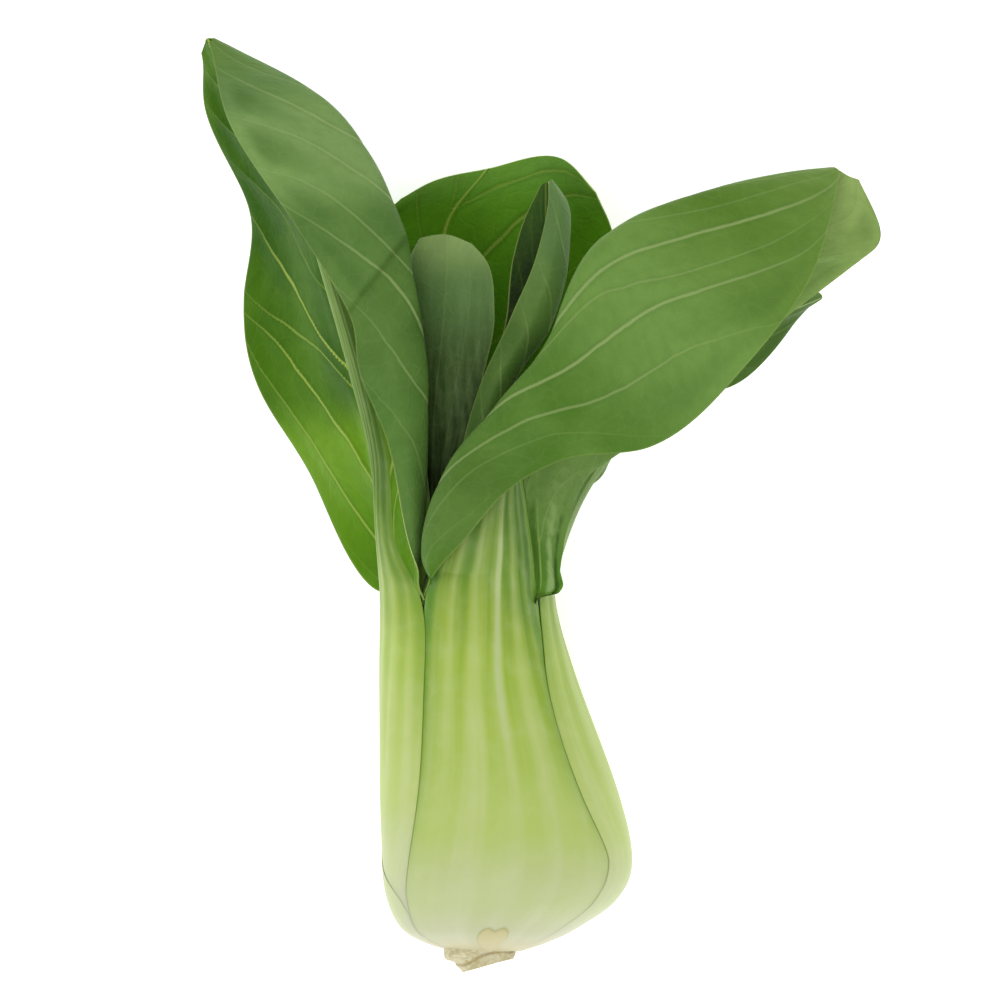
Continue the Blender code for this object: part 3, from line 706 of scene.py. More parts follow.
def ease_neck(rows):
    """Rows of points with the bend at the neck spread over its neighbours."""
    eased = rows.copy()
    for _ in range(EASING_ROUNDS):
        previous = eased.copy()
        for i in range(HEAD_ROWS - NECK_EASING, HEAD_ROWS + NECK_EASING + 1):
            away = abs(i - HEAD_ROWS) / (NECK_EASING + 1)
            width = max(1, int(round(NECK_EASING * (1 - away) / 2)))
            eased[i] = previous[i - width : i + width + 1].mean(axis=0)
    return eased


def run_length(grid, axis):
    """The distance run along each row (axis 1) or column (axis 0) of a grid, in millimetres."""
    steps = np.linalg.norm(np.diff(grid, axis=axis), axis=2)
    start = np.zeros_like(steps[:1] if axis == 0 else steps[:, :1])
    return np.concatenate([start, np.cumsum(steps, axis=axis)], axis=axis)


def vein_spacing(grid, phase):
    """The distance from one side vein to the next at each place of a grid, in millimetres."""
    across, along = np.gradient(grid, axis=1), np.gradient(grid, axis=0)
    change_across, change_along = np.gradient(phase, axis=1), np.gradient(phase, axis=0)
    aa = (across * across).sum(2)
    bb = (along * along).sum(2)
    ab = (across * along).sum(2)
    size = np.maximum(aa * bb - ab * ab, 1e-9)
    steep = (bb * change_across**2 - 2 * ab * change_across * change_along + aa * change_along**2) / size
    return np.clip(1 / np.sqrt(np.maximum(steep, 1e-6)), *VEIN_SPACINGS)


def sheet_quads(rows, columns, left, middle, join):
    """The quads of a leaf's sheet, leaving a slot below the row where the stalk has become a midrib."""
    i, j = np.meshgrid(np.arange(rows - 1), np.arange(columns - 1), indexing="ij")
    slot = (i < join) & (j >= left - 1) & (j < left + middle)
    i, j = i[~slot], j[~slot]
    low, high = i * columns + j, (i + 1) * columns + j
    return np.stack([low, low + 1, high + 1, high], axis=1)


def thick_sheet(outer, inner, quads):
    """One closed mesh from two matching faces: its points, its quads, and each one's side, which is
    0, 1 or 2 for outer, inner and rim."""
    size = len(outer)
    edges = np.concatenate([quads[:, [k, (k + 1) % 4]] for k in range(4)])
    ordered = np.sort(edges, axis=1)
    _, index, count = np.unique(
        ordered[:, 0] * size + ordered[:, 1], return_inverse=True, return_counts=True
    )
    border = edges[count[index] == 1]
    rim = np.stack([border[:, 1], border[:, 0], border[:, 0] + size, border[:, 1] + size], axis=1)
    faces = np.concatenate([quads, quads[:, ::-1] + size, rim])
    kinds = np.repeat([0, 1, 2], [len(quads), len(quads), len(rim)])
    return np.concatenate([outer, inner]), faces, kinds


def ring_faces(rings, size):
    """Quads joining closed rings of equal size, with the first and last ring capped across."""
    i, j = np.meshgrid(np.arange(rings - 1), np.arange(size), indexing="ij")
    a, b = i * size + j, i * size + (j + 1) % size
    sides = np.stack([a, b, b + size, a + size], axis=-1).reshape(-1, 4)
    j = np.arange(size // 2 - 1)
    cap = np.stack([j, size - 1 - j, size - 2 - j, j + 1], axis=1)
    return np.concatenate([sides, cap, cap[:, ::-1] + (rings - 1) * size])


def heart_leaf(name, angle, distance, reach, thickness):
    """A small young leaf of the heart, cupped round the head's own axis."""
    lines = []
    for across in (-1.0, -0.5, 0.0, 0.5, 1.0):
        line = []
        for share in HEART_STATIONS:
            shift = HEART_SHIFT * smooth(2 * share)
            radius = distance * (1.0 - HEART_CLOSING * share)
            spread = HEART_SPREAD + (HEART_TIP_SPREAD - HEART_SPREAD) * share**3
            turn = math.radians(angle - across * spread)
            line.append(
                (
                    HEAD_CENTRE[NECK] + shift + radius * math.cos(turn),
                    HEAD_ALONG[NECK] + reach * share * (1.0 - HEART_ROUNDING * across**2),
                    HEAD_LIFT - shift + radius * math.sin(turn),
                )
            )
        lines.append(line)
    return Leaf(
        name,
        lines,
        counts=(22, 25, 22, 60),
        angles=(angle, angle),
        spans=(60.0, 48.0),
        thickness=thickness,
        midrib=2,
        starts=(-1.05, -0.5, 0.0, 0.5, 1.05),
        stalk_widths=((5.0, 2.6, 1.6, 1.0, 0.8),) * 2,
        rib_end=0.8,
        wave=(0.3, 2.0, 0.1),
        quilt=0.2,
    )


def back_leaf():
    """The leaf under the head, flat behind the others."""
    lines = (
        # left margin
        ((-1, 93, 8.5), (8, 110.5, 7.5), (19.5, 132.5, 7.5), (27, 156, 9), (25.5, 171.5, 13),
         (22, 182.5, 15)),
        # middle of the left half
        ((-4.5, 93, 7.2), (-1.5, 111.5, 5.5), (3, 134, 4.5), (7.5, 156.5, 5), (8, 175, 8),
         (13.5, 190.5, 13)),
        # midrib
        ((-9, 93.5, 6.8), (-12, 112.5, 4.6), (-15, 135, 3.4), (-15.5, 157.5, 3), (-14.5, 175, 4.5),
         (-5, 188, 10)),
        # middle of the right half
        ((-14.5, 93, 7.2), (-20, 111.5, 5), (-29.5, 134.5, 4.5), (-30, 157, 4.5), (-25.5, 174.5, 5.5),
         (-19, 184.5, 9)),
        # right margin
        ((-18, 93, 8.5), (-27.5, 111, 6), (-39, 133, 6), (-41, 156, 8), (-35.5, 173.5, 8),
         (-25.5, 180.5, 9)),
    )
    left_veins = even_veins(5)[:3] + (
        (0.35, 0.48, 0.57, 0.66, 0.75, 0.82),
        (1.0, 0.68, 0.785, 0.87, 0.93, 0.97),
        (0.6, 0.89, 0.932, 0.955, 0.975, 1.0),
    )
    return Leaf(
        "back_leaf",
        lines,
        counts=(45, 49, 45, 140),
        angles=(255.0, 273.0),
        spans=(80.0, 35.0),
        thickness=(5.4, 3.2),
        midrib=2,
        starts=(-1.05, -0.5, 0.0, 0.5, 1.05),
        stalk_widths=((12.0, 6.5, 3.6, 2.4, 1.6, 0.9),) * 2,
        rib_end=0.86,
        wave=(1.0, 2.5, 0.2),
        skirt=28.0,
        quilt=0.35,
        veins=(left_veins, even_veins(7, 0.35)),
    )


def left_leaf():
    """The leaf on the left, whose right half is folded over its midrib, and over itself again."""
    lines = (
        # left margin
        ((-33, 87, 11), (-48.5, 114, 6), (-60, 135.5, 2), (-64, 156, 1.2), (-62.5, 176.5, 6),
         (-73.5, 204, 16), (-74, 216, 22)),
        # middle of the left half
        ((-28, 92.5, 15), (-39, 116, 19), (-48.5, 137, 14), (-52.5, 157.5, 13), (-54.5, 176, 17),
         (-66.5, 201.5, 22.5), (-73, 218.5, 25)),
        # midrib
        ((-28.5, 98.5, 28), (-30.5, 118.5, 30), (-35.5, 137.5, 32), (-41, 156, 33), (-47, 174, 33),
         (-60.5, 200, 30.5), (-72.5, 219.5, 27)),
        # right half below the fold
        ((-25.5, 98, 37), (-25.5, 119.5, 35.5), (-28, 138, 35), (-31.5, 157, 35.5), (-37, 175, 35),
         (-52, 202.5, 32), (-71.5, 219.5, 27.5)),
        # fold
        ((-21, 96, 42.5), (-19.5, 120, 42), (-19.5, 138.5, 41), (-22.5, 158.5, 41), (-25.5, 174.5, 42),
         (-44, 204, 37), (-71, 219.5, 29)),
        # middle of the flap
        ((-22.5, 96.5, 46), (-23, 120.5, 46), (-26.5, 138, 46), (-29, 156, 45), (-37.5, 173.5, 48),
         (-56, 202, 42), (-71, 219.5, 31)),
        # right margin
        ((-24, 97.5, 47), (-28.5, 120.5, 46.5), (-35.5, 138, 45), (-38, 152.5, 43), (-51, 173.5, 45),
         (-67.5, 200, 39), (-72, 218.5, 32)),
    )
    left_veins = (
        (0.4, -0.5, -0.3, -0.12, 0.04, 0.2),
        (0.85, -0.35, -0.12, 0.09, 0.3, 0.45),
        (0.9, 0.16, 0.27, 0.357, 0.44, 0.49),
        (0.6, 0.355, 0.415, 0.44, 0.475, 0.52),
        (1.0, 0.385, 0.448, 0.515, 0.58, 0.64),
        (0.3, 0.52, 0.58, 0.64, 0.69, 0.74),
        (0.3, 0.66, 0.71, 0.76, 0.8, 0.84),
        (0.3, 0.8, 0.84, 0.88, 0.91, 0.94),
    )
    right_veins = (
        (0.5, -0.15, -0.03, 0.1, 0.247, 0.37),
        (0.65, 0.1, 0.22, 0.32, 0.415, 0.56),
        (0.95, 0.2, 0.3, 0.43, 0.585, 0.68),
        (0.55, 0.3, 0.42, 0.53, 0.695, 0.74),
        (0.55, 0.4, 0.57, 0.7, 0.795, 0.84),
        (0.6, 0.56, 0.69, 0.787, 0.885, 0.95),
        (0.35, 0.7, 0.8, 0.88, 0.96, 1.04),
    )
    return Leaf(
        "left_leaf",
        lines,
        counts=(45, 97, 78, 200),
        angles=(205.0, 178.0),
        spans=(59.0, 58.5),
        thickness=(5.4, 3.4),
        midrib=2,
        starts=(-1.05, -0.5, 0.0, 0.4, 0.75, 0.93, 1.05),
        stalk_widths=((6.0, 3.2, 2.7, 2.3, 1.8, 1.2, 0.8), (6.5, 3.2, 2.4, 2.0, 1.6, 1.2, 0.8)),
        rib_end=0.8,
        wave=(0.9, 3.0, 0.0),
        quilt=1.0,
        veins=(left_veins, right_veins),
        # Seen from above, the line beyond which the blade lies folded over itself, and how it rises there.
        crease={"line": ((-24.7, 171.1), (-36.3, 155.6)), "edge": 1.2, "height": 2.2, "fade": 26.0},
    )


def right_leaf():
    """The leaf on the right, mostly behind the front leaf."""
    lines = (
        # left margin
        ((9.5, 97, 32), (13.5, 113, 31.5), (23, 130.5, 29), (42, 150, 26), (57.5, 161, 21),
         (72.5, 161, 15)),
        # middle of the left half
        ((10.5, 96, 27.5), (15.5, 111.5, 25.5), (26, 127.5, 22), (45.5, 144.5, 18), (61.5, 156, 14.5),
         (74.5, 159, 12.5)),
        # midrib
        ((10.5, 95.5, 21), (17, 110.5, 17.5), (28, 124.5, 14), (46.5, 140, 11), (63, 151, 9.5),
         (76.5, 157, 9.5)),
        # middle of the right half
        ((9.5, 95, 15), (16.5, 108.5, 11), (27, 121, 7), (45.5, 135.5, 5), (61.5, 146.5, 4.5),
         (74, 155, 6.5)),
        # right margin
        ((8, 94, 11), (15, 106.5, 7), (25, 118, 3.5), (42.5, 130, 1.2), (58, 138, 1.5), (72.5, 153, 4)),
    )
    return Leaf(
        "right_leaf",
        lines,
        counts=(45, 49, 45, 140),
        angles=(340.0, 351.5),
        spans=(56.0, 41.0),
        thickness=(5.4, 3.2),
        midrib=2,
        starts=(-1.05, -0.5, 0.0, 0.5, 1.05),
        stalk_widths=((8.5, 5.0, 3.2, 2.2, 1.4, 0.9),) * 2,
        rib_end=0.86,
        wave=(1.0, 4.0, 0.3),
        ruffle=(0.8, 0.8),
        swell=15.0,
        quilt=0.35,
    )


def front_leaf():
    """The leaf in front, whose left half is folded over its midrib."""
    lines = (
        # left margin
        ((-17, 90.5, 50), (-10.5, 98, 54), (-1, 109.5, 57), (13, 117, 59), (34.5, 120.5, 57),
         (57, 139.5, 56), (72.5, 160, 55), (78.5, 179, 52), (80.5, 186.5, 49.5)),
        # middle of the flap
        ((-18.5, 91.5, 50.5), (-15, 101.5, 55.5), (-7, 112.5, 59.5), (5.5, 123.5, 62),
         (22.5, 132.5, 62), (40.5, 153.5, 62), (60.5, 170.5, 59), (74.5, 182, 54), (80, 187.5, 49.5)),
        # fold
        ((-20, 92.5, 48.6), (-18.5, 105, 52), (-13.5, 116, 55), (-2.5, 130, 56), (8.5, 143.5, 56),
         (22.5, 170, 55), (46.5, 181.5, 53), (68, 186.5, 50), (79, 188, 48)),
        # midrib
        ((-2.5, 94, 45.6), (-2, 107.5, 46.8), (-1, 118.5, 48), (3.5, 131.5, 49), (15, 146, 49.3),
         (32, 164.5, 48.5), (53, 175, 47), (71, 182, 45.5), (80, 187.5, 45.5)),
        # middle of the right half
        ((4, 93, 43.6), (5.5, 106.5, 44.4), (9, 115, 44.4), (17, 124, 43.8), (29.5, 132.5, 43.5),
         (46.5, 149, 43), (65.5, 165, 42), (80, 177, 43), (82.5, 186, 44)),
        # right margin
        ((12, 87.5, 38.6), (13.5, 98, 38.3), (18.5, 109.5, 37.8), (25.5, 117.5, 37), (36, 124.5, 36.5),
         (57.5, 144, 36), (80, 164, 37), (91, 172.5, 39), (85, 185, 42)),
    )
    left_veins = (
        (0.25, -0.4, -0.2, 0.0, 0.15, 0.28),
        (0.3, -0.2, -0.02, 0.17, 0.38, 0.5),
        (0.75, 0.0, 0.14, 0.36, 0.59, 0.72),
        (1.0, 0.15, 0.386, 0.575, 0.75, 0.88),
        (0.45, 0.3, 0.53, 0.655, 0.83, 0.94),
        (0.95, 0.38, 0.57, 0.79, 0.91, 1.0),
        (0.3, 0.5, 0.7, 0.89, 0.99, 1.08),
        (0.3, 0.65, 0.82, 0.98, 1.08, 1.16),
    )
    return Leaf(
        "front_leaf",
        lines,
        counts=(86, 145, 46, 220),
        angles=(90.0, 77.0),
        spans=(66.0, 45.0),
        thickness=(5.8, 3.6),
        midrib=3,
        starts=(-1.05, -0.9, -0.75, 0.0, 0.5, 1.05),
        stalk_widths=(
            (15.0, 11.0, 8.0, 5.5, 3.8, 2.6, 1.8, 1.2, 0.8),
            (10.0, 7.0, 5.0, 3.8, 3.0, 2.4, 1.8, 1.2, 0.8),
        ),
        rib_end=0.82,
        wave=(1.0, 3.0, 0.1),
        ruffle=(0.0, 2.2),
        neck_rib=0.19,
        quilt=0.9,
        veins=(left_veins, even_veins(7)),
        ribs=(
            (-0.82, 0.04, 0.3),
            (-0.6, 0.09, 0.6),
            (-0.29, 0.11, 0.6),
            (0.0, 0.07, 1.0),
            (0.33, 0.13, 0.6),
            (0.6, 0.06, 0.4),
            (0.85, 0.035, 0.3),
        ),
        # Place across the stalk and along it, and half the width and length.
        scar=(0.06, 1.6, 0.17, 3.2),
        flare={"width": 3.4, "drop": 3.0, "fade": 14.0, "direction": (0.97, 0.0, -0.2), "lift": 5.5},
        # Place over the right half, width and height of each long fold.
        folds=(
            (0.12, 0.16, -0.3),
            (0.25, 0.035, 0.3),
            (0.58, 0.13, 0.45),
            (0.8, 0.06, -0.3),
            (1.0, 0.1, 0.0),
        ),
    )


def hooded_leaf():
    """The rolled young leaf in the middle."""
    lines = (
        # left margin
        ((-14, 99, 40.5), (-11, 118.5, 41), (-6, 137, 40), (1, 151.5, 40), (7.5, 168.5, 39.5),
         (10, 180, 38), (10, 184.5, 36.5)),
        # middle of the left half
        ((-11, 98.5, 41.8), (-8, 118.5, 43), (-2.5, 136.5, 43.5), (6, 151, 43.5), (11, 168, 42.5),
         (12.5, 180, 40), (10.5, 185, 36)),
        # fold
        ((-6.5, 98, 41.5), (-4.5, 120, 41.5), (2, 137, 40), (10.5, 150, 39), (15, 169.5, 38),
         (14.5, 179.5, 36.5), (11, 184.5, 34.5)),
        # midrib
        ((-4.5, 99, 38), (-5, 121, 35.6), (0, 139, 34.5), (6.5, 153, 33.5), (9.5, 170.5, 32),
         (9.5, 179, 32), (9.5, 184.5, 32)),
        # right margin
        ((-6.5, 100.5, 32), (-9.5, 122, 31.5), (-4.5, 140.5, 30.5), (0, 151.5, 30), (1.5, 167, 29.5),
         (4.5, 176.5, 30), (8, 183.5, 31)),
    )
    return Leaf(
        "hooded_leaf",
        lines,
        counts=(45, 33, 28, 130),
        angles=(60.0, 65.0),
        spans=(78.0, 60.0),
        thickness=(4.0, 2.6),
        midrib=3,
        starts=(-1.05, -0.75, -0.35, 0.0, 1.05),
        stalk_widths=((6.0, 4.0, 2.8, 2.0, 1.4, 1.0, 0.8),) * 2,
        rib_end=0.8,
        wave=(0.3, 3.0, 0.1),
        ruffle=(0.0, 0.5),
        quilt=0.3,
        veins=(even_veins(9, 0.4), even_veins(7)),
    )


def slim_leaf():
    """The young leaf beside the hooded one, on its left."""
    lines = (
        # left margin
        ((-18.5, 98, 18.5), (-18, 114.5, 17), (-18.5, 131, 17), (-20, 150.5, 18), (-21, 165.5, 20),
         (-19, 170.5, 22)),
        # middle of the left half
        ((-20.5, 98, 22), (-21, 114.5, 20), (-22, 131, 20.5), (-23, 150.5, 21.5), (-23.5, 165.5, 22.5),
         (-20.5, 171, 23.5)),
        # midrib
        ((-21, 98, 28), (-21.5, 115, 25.5), (-22.5, 131.5, 26), (-23.5, 151, 26), (-23, 166.5, 26),
         (-21, 171, 25.5)),
        # middle of the right half
        ((-18.5, 98.5, 33), (-16, 115.5, 31.5), (-14.5, 132, 31.5), (-13.5, 151.5, 30.5),
         (-14, 167, 29.5), (-15, 172, 27.5)),
        # right margin
        ((-16, 99, 36.5), (-11, 117.5, 34.5), (-6.5, 134, 33), (-3, 153, 31.5), (-5.5, 166.5, 30),
         (-8.5, 170, 28)),
    )
    veins = (
        (0.5, -0.9, -0.5, 0.0, 0.5, 1.0),
        (0.4, -0.5, -0.1, 0.4, 0.9, 1.4),
        (0.4, 0.0, 0.5, 1.0, 1.5, 2.0),
    )
    return Leaf(
        "slim_leaf",
        lines,
        counts=(34, 33, 34, 110),
        angles=(180.0, 185.0),
        spans=(78.0, 60.0),
        thickness=(3.8, 2.4),
        midrib=2,
        starts=(-1.05, -0.5, 0.0, 0.5, 1.05),
        stalk_widths=((7.0, 4.2, 2.8, 2.0, 1.4, 0.8),) * 2,
        rib_end=0.8,
        wave=(0.6, 2.0, 0.4),
        ruffle=(0.7, 0.7),
        gap=1.2,
        quilt=0.25,
        veins=(veins, veins),
    )


def all_leaves():
    """The leaves from the outermost inwards; each is nested under those before it."""
    leaves = [back_leaf(), left_leaf(), right_leaf(), front_leaf(), hooded_leaf(), slim_leaf()]
    leaves.append(heart_leaf("heart_leaf_1", 285.0, 9.5, 42.0, (3.2, 2.0)))
    leaves.append(heart_leaf("heart_leaf_2", 110.0, 7.0, 36.0, (2.8, 1.8)))
    for i, leaf in enumerate(leaves):
        leaf.outside = leaves[:i]
    return leaves


def add_node(tree, kind, inputs=None, **settings):
    """Adds a shader node with its settings; inputs gives each socket a value or another node's output."""
    node = tree.nodes.new(kind)
    for name, value in settings.items():
        setattr(node, name, value)
    for socket, value in (inputs or {}).items():
        if isinstance(value, bpy.types.NodeSocket):
            tree.links.new(value, node.inputs[socket])
        else:
            node.inputs[socket].default_value = value
    return node


class Painter:
    """Short names for the few calculations that the finishes repeat, all made with add_node."""

    def __init__(self, name):
        self.material = bpy.data.materials.new(name)
        self.material.use_nodes = True
        self.tree = self.material.node_tree
        self.shader = self.tree.nodes["Principled BSDF"]

    def value(self, name):
        """A measure stored on the mesh."""
        return add_node(self.tree, "ShaderNodeAttribute", attribute_name=name).outputs["Fac"]

    def math(self, operation, first, second=0.0, third=0.0):
        """A sum on one to three values."""
        inputs = {0: first, 1: second, 2: third}
        return add_node(self.tree, "ShaderNodeMath", inputs, operation=operation).outputs[0]

    def times(self, first, second):
        """Two values multiplied."""
        return self.math("MULTIPLY", first, second)

    def ease(self, value, low, high, start=0.0, end=1.0):
        """The value start at low and below, end at high and above, with a soft change between."""
        inputs = {"Value": value, "From Min": low, "From Max": high, "To Min": start, "To Max": end}
        made = add_node(self.tree, "ShaderNodeMapRange", inputs, interpolation_type="SMOOTHSTEP")
        return made.outputs["Result"]

    def mix(self, factor, first, second):
        """One colour over another by a factor."""
        inputs = {0: factor}
        for socket, colour in ((6, first), (7, second)):
            inputs[socket] = (*linear(colour), 1.0) if isinstance(colour, str) else colour
        return add_node(self.tree, "ShaderNodeMix", inputs, data_type="RGBA").outputs[2]

    def ramp(self, value, stops):
        """A colour that passes smoothly through the colours listed with their values."""
        low, high = stops[0][0], stops[-1][0]
        share = self.math("DIVIDE", self.math("SUBTRACT", value, low), high - low)
        made = add_node(self.tree, "ShaderNodeValToRGB", {"Fac": share})
        made.color_ramp.interpolation = "EASE"
        elements = made.color_ramp.elements
        while len(elements) < len(stops):
            elements.new(0.5)
        for element, (place, colour) in zip(elements, stops):
            element.position = (place - low) / (high - low)
            element.color = (*linear(colour), 1.0)
        return made.outputs["Color"]

    def place(self, across, along, depth=0.0):
        """A place to draw patterns on, from its coordinates."""
        inputs = {0: across, 1: along, 2: depth}
        return add_node(self.tree, "ShaderNodeCombineXYZ", inputs).outputs[0]

    def noise(self, place, size, detail=2.0):
        """Soft noise from 0 to 1 with features of a size in the place's own units."""
        inputs = {"Vector": place, "Scale": 1.0 / size, "Detail": detail}
        return add_node(self.tree, "ShaderNodeTexNoise", inputs).outputs["Fac"]

    def bent(self, place, size, reach):
        """A place moved about by soft noise, so that what is drawn on it loses its straight lines."""
        inputs = {"Vector": place, "Scale": 1.0 / size, "Detail": 1.0}
        noise = add_node(self.tree, "ShaderNodeTexNoise", inputs).outputs["Color"]
        inputs = {0: noise, 1: (reach, reach, 0.0)}
        moved = add_node(self.tree, "ShaderNodeVectorMath", inputs, operation="MULTIPLY").outputs[0]
        return add_node(self.tree, "ShaderNodeVectorMath", {0: place, 1: moved}, operation="ADD").outputs[0]

    def cells(self, place, size, width):
        """Thin lines round cells of a size, as the small veins of a leaf close their meshes."""
        inputs = {"Vector": place, "Scale": 1.0 / size}
        made = add_node(self.tree, "ShaderNodeTexVoronoi", inputs, feature="DISTANCE_TO_EDGE")
        return self.ease(made.outputs["Distance"], 0.0, width / size, 1.0, 0.0)

    def finish(self, colour, height, depth_mm, roughness):
        """Joins the colour, and the height as a bump of a depth, to the shader."""
        self.tree.links.new(colour, self.shader.inputs["Base Color"])
        inputs = {"Height": height, "Distance": depth_mm * MILLIMETRE, "Strength": 1.0}
        bump = add_node(self.tree, "ShaderNodeBump", inputs)
        self.tree.links.new(bump.outputs["Normal"], self.shader.inputs["Normal"])
        self.tree.links.new(roughness, self.shader.inputs["Roughness"])
        return self.material


# Two looks of a blade's side. The bright side is glossy and saturated with thin yellow veins sunk in it, its
# deep saturated green partly painted shade;
# the dusky side has a greyish bloom with whitish veins that stand proud, its grey partly a painted sheen
# where the wax catches the light.
# Each look also sets the painted shade in the hollows between its veins and beside them, drawn in its mottle
# colour.
LOOKS = {
    "bright": {
        "vein": "#a3ba4e",
        "strength": 0.75,
        "midrib": 0.8,
        "patch": "#669614",
        "patchy": 0.35,
        "mottle": "#2b5604",
        "mottled": 0.14,
        "hollow_shade": 0.1,
        "beside": 0.3,
        "net": 0.02,
        "fine_net": 0.02,
        "rise": -0.8,
        "rim": 0.45,
        "bloom": 0.0,
    },
    "dusky": {
        "vein": "#a6bb78",
        "strength": 0.5,
        "midrib": 0.6,
        "patch": "#769a4a",
        "patchy": 0.35,
        "mottle": "#3c6220",
        "mottled": 0.16,
        "hollow_shade": 0.3,
        "beside": 0.15,
        "net": 0.03,
        "fine_net": 0.02,
        "rise": 1.0,
        "rim": 0.2,
        "bloom": 0.02,
    },
}
PALE_MARGIN_AND_HIGHLIGHT = "#a9bd68"
MARGIN_SPECKLE = "#8fae4d"

# Each leaf's outer and inner side: its look, and its colours by the share of the blade's length. A side
# may change single values of its look, and paint light and shade on its folds and on the part that lies
# folded over.
HEART_SIDES = (
    {"look": "dusky", "colours": ((0.0, "#6f9342"), (1.0, "#5d8436"))},
    {"look": "bright", "colours": ((0.0, "#557f22"), (1.0, "#4a7420"))},
)
# The slim leaf's colours turn near black towards its base: painted shade deep inside the head.
SLIM_SIDE = {
    "look": "dusky",
    "patchy": 0.08,
    "strength": 0.15,
    "midrib": 0.15,
    "mottle": "#6f8b55",
    "mottled": 0.12,
    "streaked": 0.34,
    "colours": ((0.0, "#080d02"), (0.35, "#121d07"), (0.58, "#2c4015"), (0.85, "#587840"), (1.0, "#8ca662")),
}
SIDES = {
    "back_leaf": (
        {"look": "dusky", "colours": ((0.0, "#5a7f3c"), (1.0, "#628748"))},
        {
            "look": "bright",
            "strength": 0.5,
            "colours": ((0.0, "#477a12"), (0.6, "#4e8810"), (0.85, "#5f9a1c"), (1.0, "#6a9c38")),
        },
    ),
    "left_leaf": (
        {
            "look": "bright",
            "colours": (
                (0.0, "#5c8c10"),
                (0.14, "#55850e"),
                (0.27, "#6a9618"),
                (0.36, "#305c00"),
                (1.0, "#2c5800"),
            ),
        },
        {
            "look": "dusky",
            "hollow_shade": 0.5,
            "colours": ((0.0, "#5f8440"), (0.3, "#4a722c"), (0.42, "#466a2a"), (1.0, "#4c7030")),
            "strength": 0.6,
            # The part that lies folded over is painted lighter than the flap under it: painted light on the
            # raised fold, painted shade beneath it.
            "upper": (
                (0.48, "#476b2c"),
                (0.65, "#4c7032"),
                (0.73, "#7c9c5a"),
                (0.82, "#7c9c5a"),
                (0.89, "#64854a"),
                (1.0, "#5c7c38"),
            ),
        },
    ),
    "right_leaf": (
        {"look": "dusky", "colours": ((0.0, "#5b7f36"), (0.7, "#4f7330"), (1.0, "#48682a"))},
        {"look": "bright", "colours": ((0.0, "#3f6c16"), (0.6, "#3c6a14"), (1.0, "#345911"))},
    ),
    "front_leaf": (
        {
            "look": "dusky",
            "colours": (
                (0.0, "#5c8f1c"),
                (0.08, "#4c7a20"),
                (0.2, "#688842"),
                (0.7, "#78994c"),
                (1.0, "#98b264"),
            ),
            # The long folds are painted dark where they sink and light where they rise: painted shade and
            # light of the folds, the last one greener at the margin.
            "folds": ("#3c6214", "#86a24c", "#8faa68", "#2f5218", "#5f9420"),
        },
        {
            "look": "dusky",
            "colours": (
                (0.0, "#4e7a1c"),
                (0.2, "#486c22"),
                (0.4, "#4f7824"),
                (0.62, "#709646"),
                (0.8, "#587d28"),
                (1.0, "#6a8b38"),
            ),
        },
    ),
    "hooded_leaf": (
        {"look": "dusky", "colours": ((0.0, "#4a6a32"), (0.6, "#4a682c"), (1.0, "#5f7f48"))},
        # Its inner side is painted near black: painted shade deep in the rolled leaf's hollow.
        {
            "look": "bright",
            "patchy": 0.05,
            "strength": 0.15,
            "midrib": 0.2,
            "colours": ((0.0, "#0b1405"), (0.7, "#101c08"), (1.0, "#2f4c1e")),
        },
    ),
    "slim_leaf": (SLIM_SIDE, SLIM_SIDE),
    "heart_leaf_1": HEART_SIDES,
    "heart_leaf_2": HEART_SIDES,
}

# The stalk's colours by distance from the base in millimetres: on its ribs and in the grooves between.
STALK_COLOURS = (
    (0.0, "#cbcbae", "#c2c5a2"),
    (12.0, "#c6cf9f", "#bfca90"),
    (30.0, "#c1ce88", "#b4c86a"),
    (50.0, "#bccc7b", "#a8c052"),
    (68.0, "#b4c865", "#9ab63e"),
    (80.0, "#a6bc52", "#84a32e"),
    (94.0, "#8da748", "#618a28"),
    (110.0, "#7b9848", "#4a7222"),
    (160.0, "#86a453", "#5f843d"),
)
# How much sooner a stalk turns green, in millimetres: in its middle, and beside that at its right margin.
GREENING = {"left_leaf": (-8.0, 12.0), "front_leaf": (0.0, 20.0)}
# The dark green of a blade that still shows on a stalk's left margin just below the neck.
COLLARS = {"front_leaf": "#4a7a38"}
# What a stalk's surface carries over its ribs and grooves.
STALK_TINTS = {
    "margin": "#7ba136",
    # Painted crevice shade, beside the margin of a stalk that lies over this one.
    "crevice_shade_colour": "#64912a",
    "mottle": "#dbe3bb",
    "scar_rim": "#a8a25e",
    "scar": "#c6bf90",
    "cork": "#c9c096",
}
# How many millimetres of streaks are spread over half a stalk's width, and how far they are drawn out.
STREAK_SPREAD = 26.0
STREAK_LENGTHENING = 0.045
# Sizes in millimetres of what is drawn on a blade, and how far its streaks are drawn out.
PATCH_SIZE = 24.0
MOTTLE_SIZE = 3.2
STIR_SIZE = 9.0
NET_SIZE = 6.5
FINE_NET_SIZE = 2.1
BLADE_STREAK_SIZE = 1.6
BLADE_STREAK_LENGTHENING = 0.12
# Sizes in millimetres of what is drawn on a stalk and on the stem's cut.
BAND_SIZE = 7.0
STREAK_SIZE = 2.2
STALK_MOTTLE_SIZE = 5.0
FIBRE_SIZE = 1.1
CORK_SIZE = 4.5
FLOOR_GLOW = 0.6


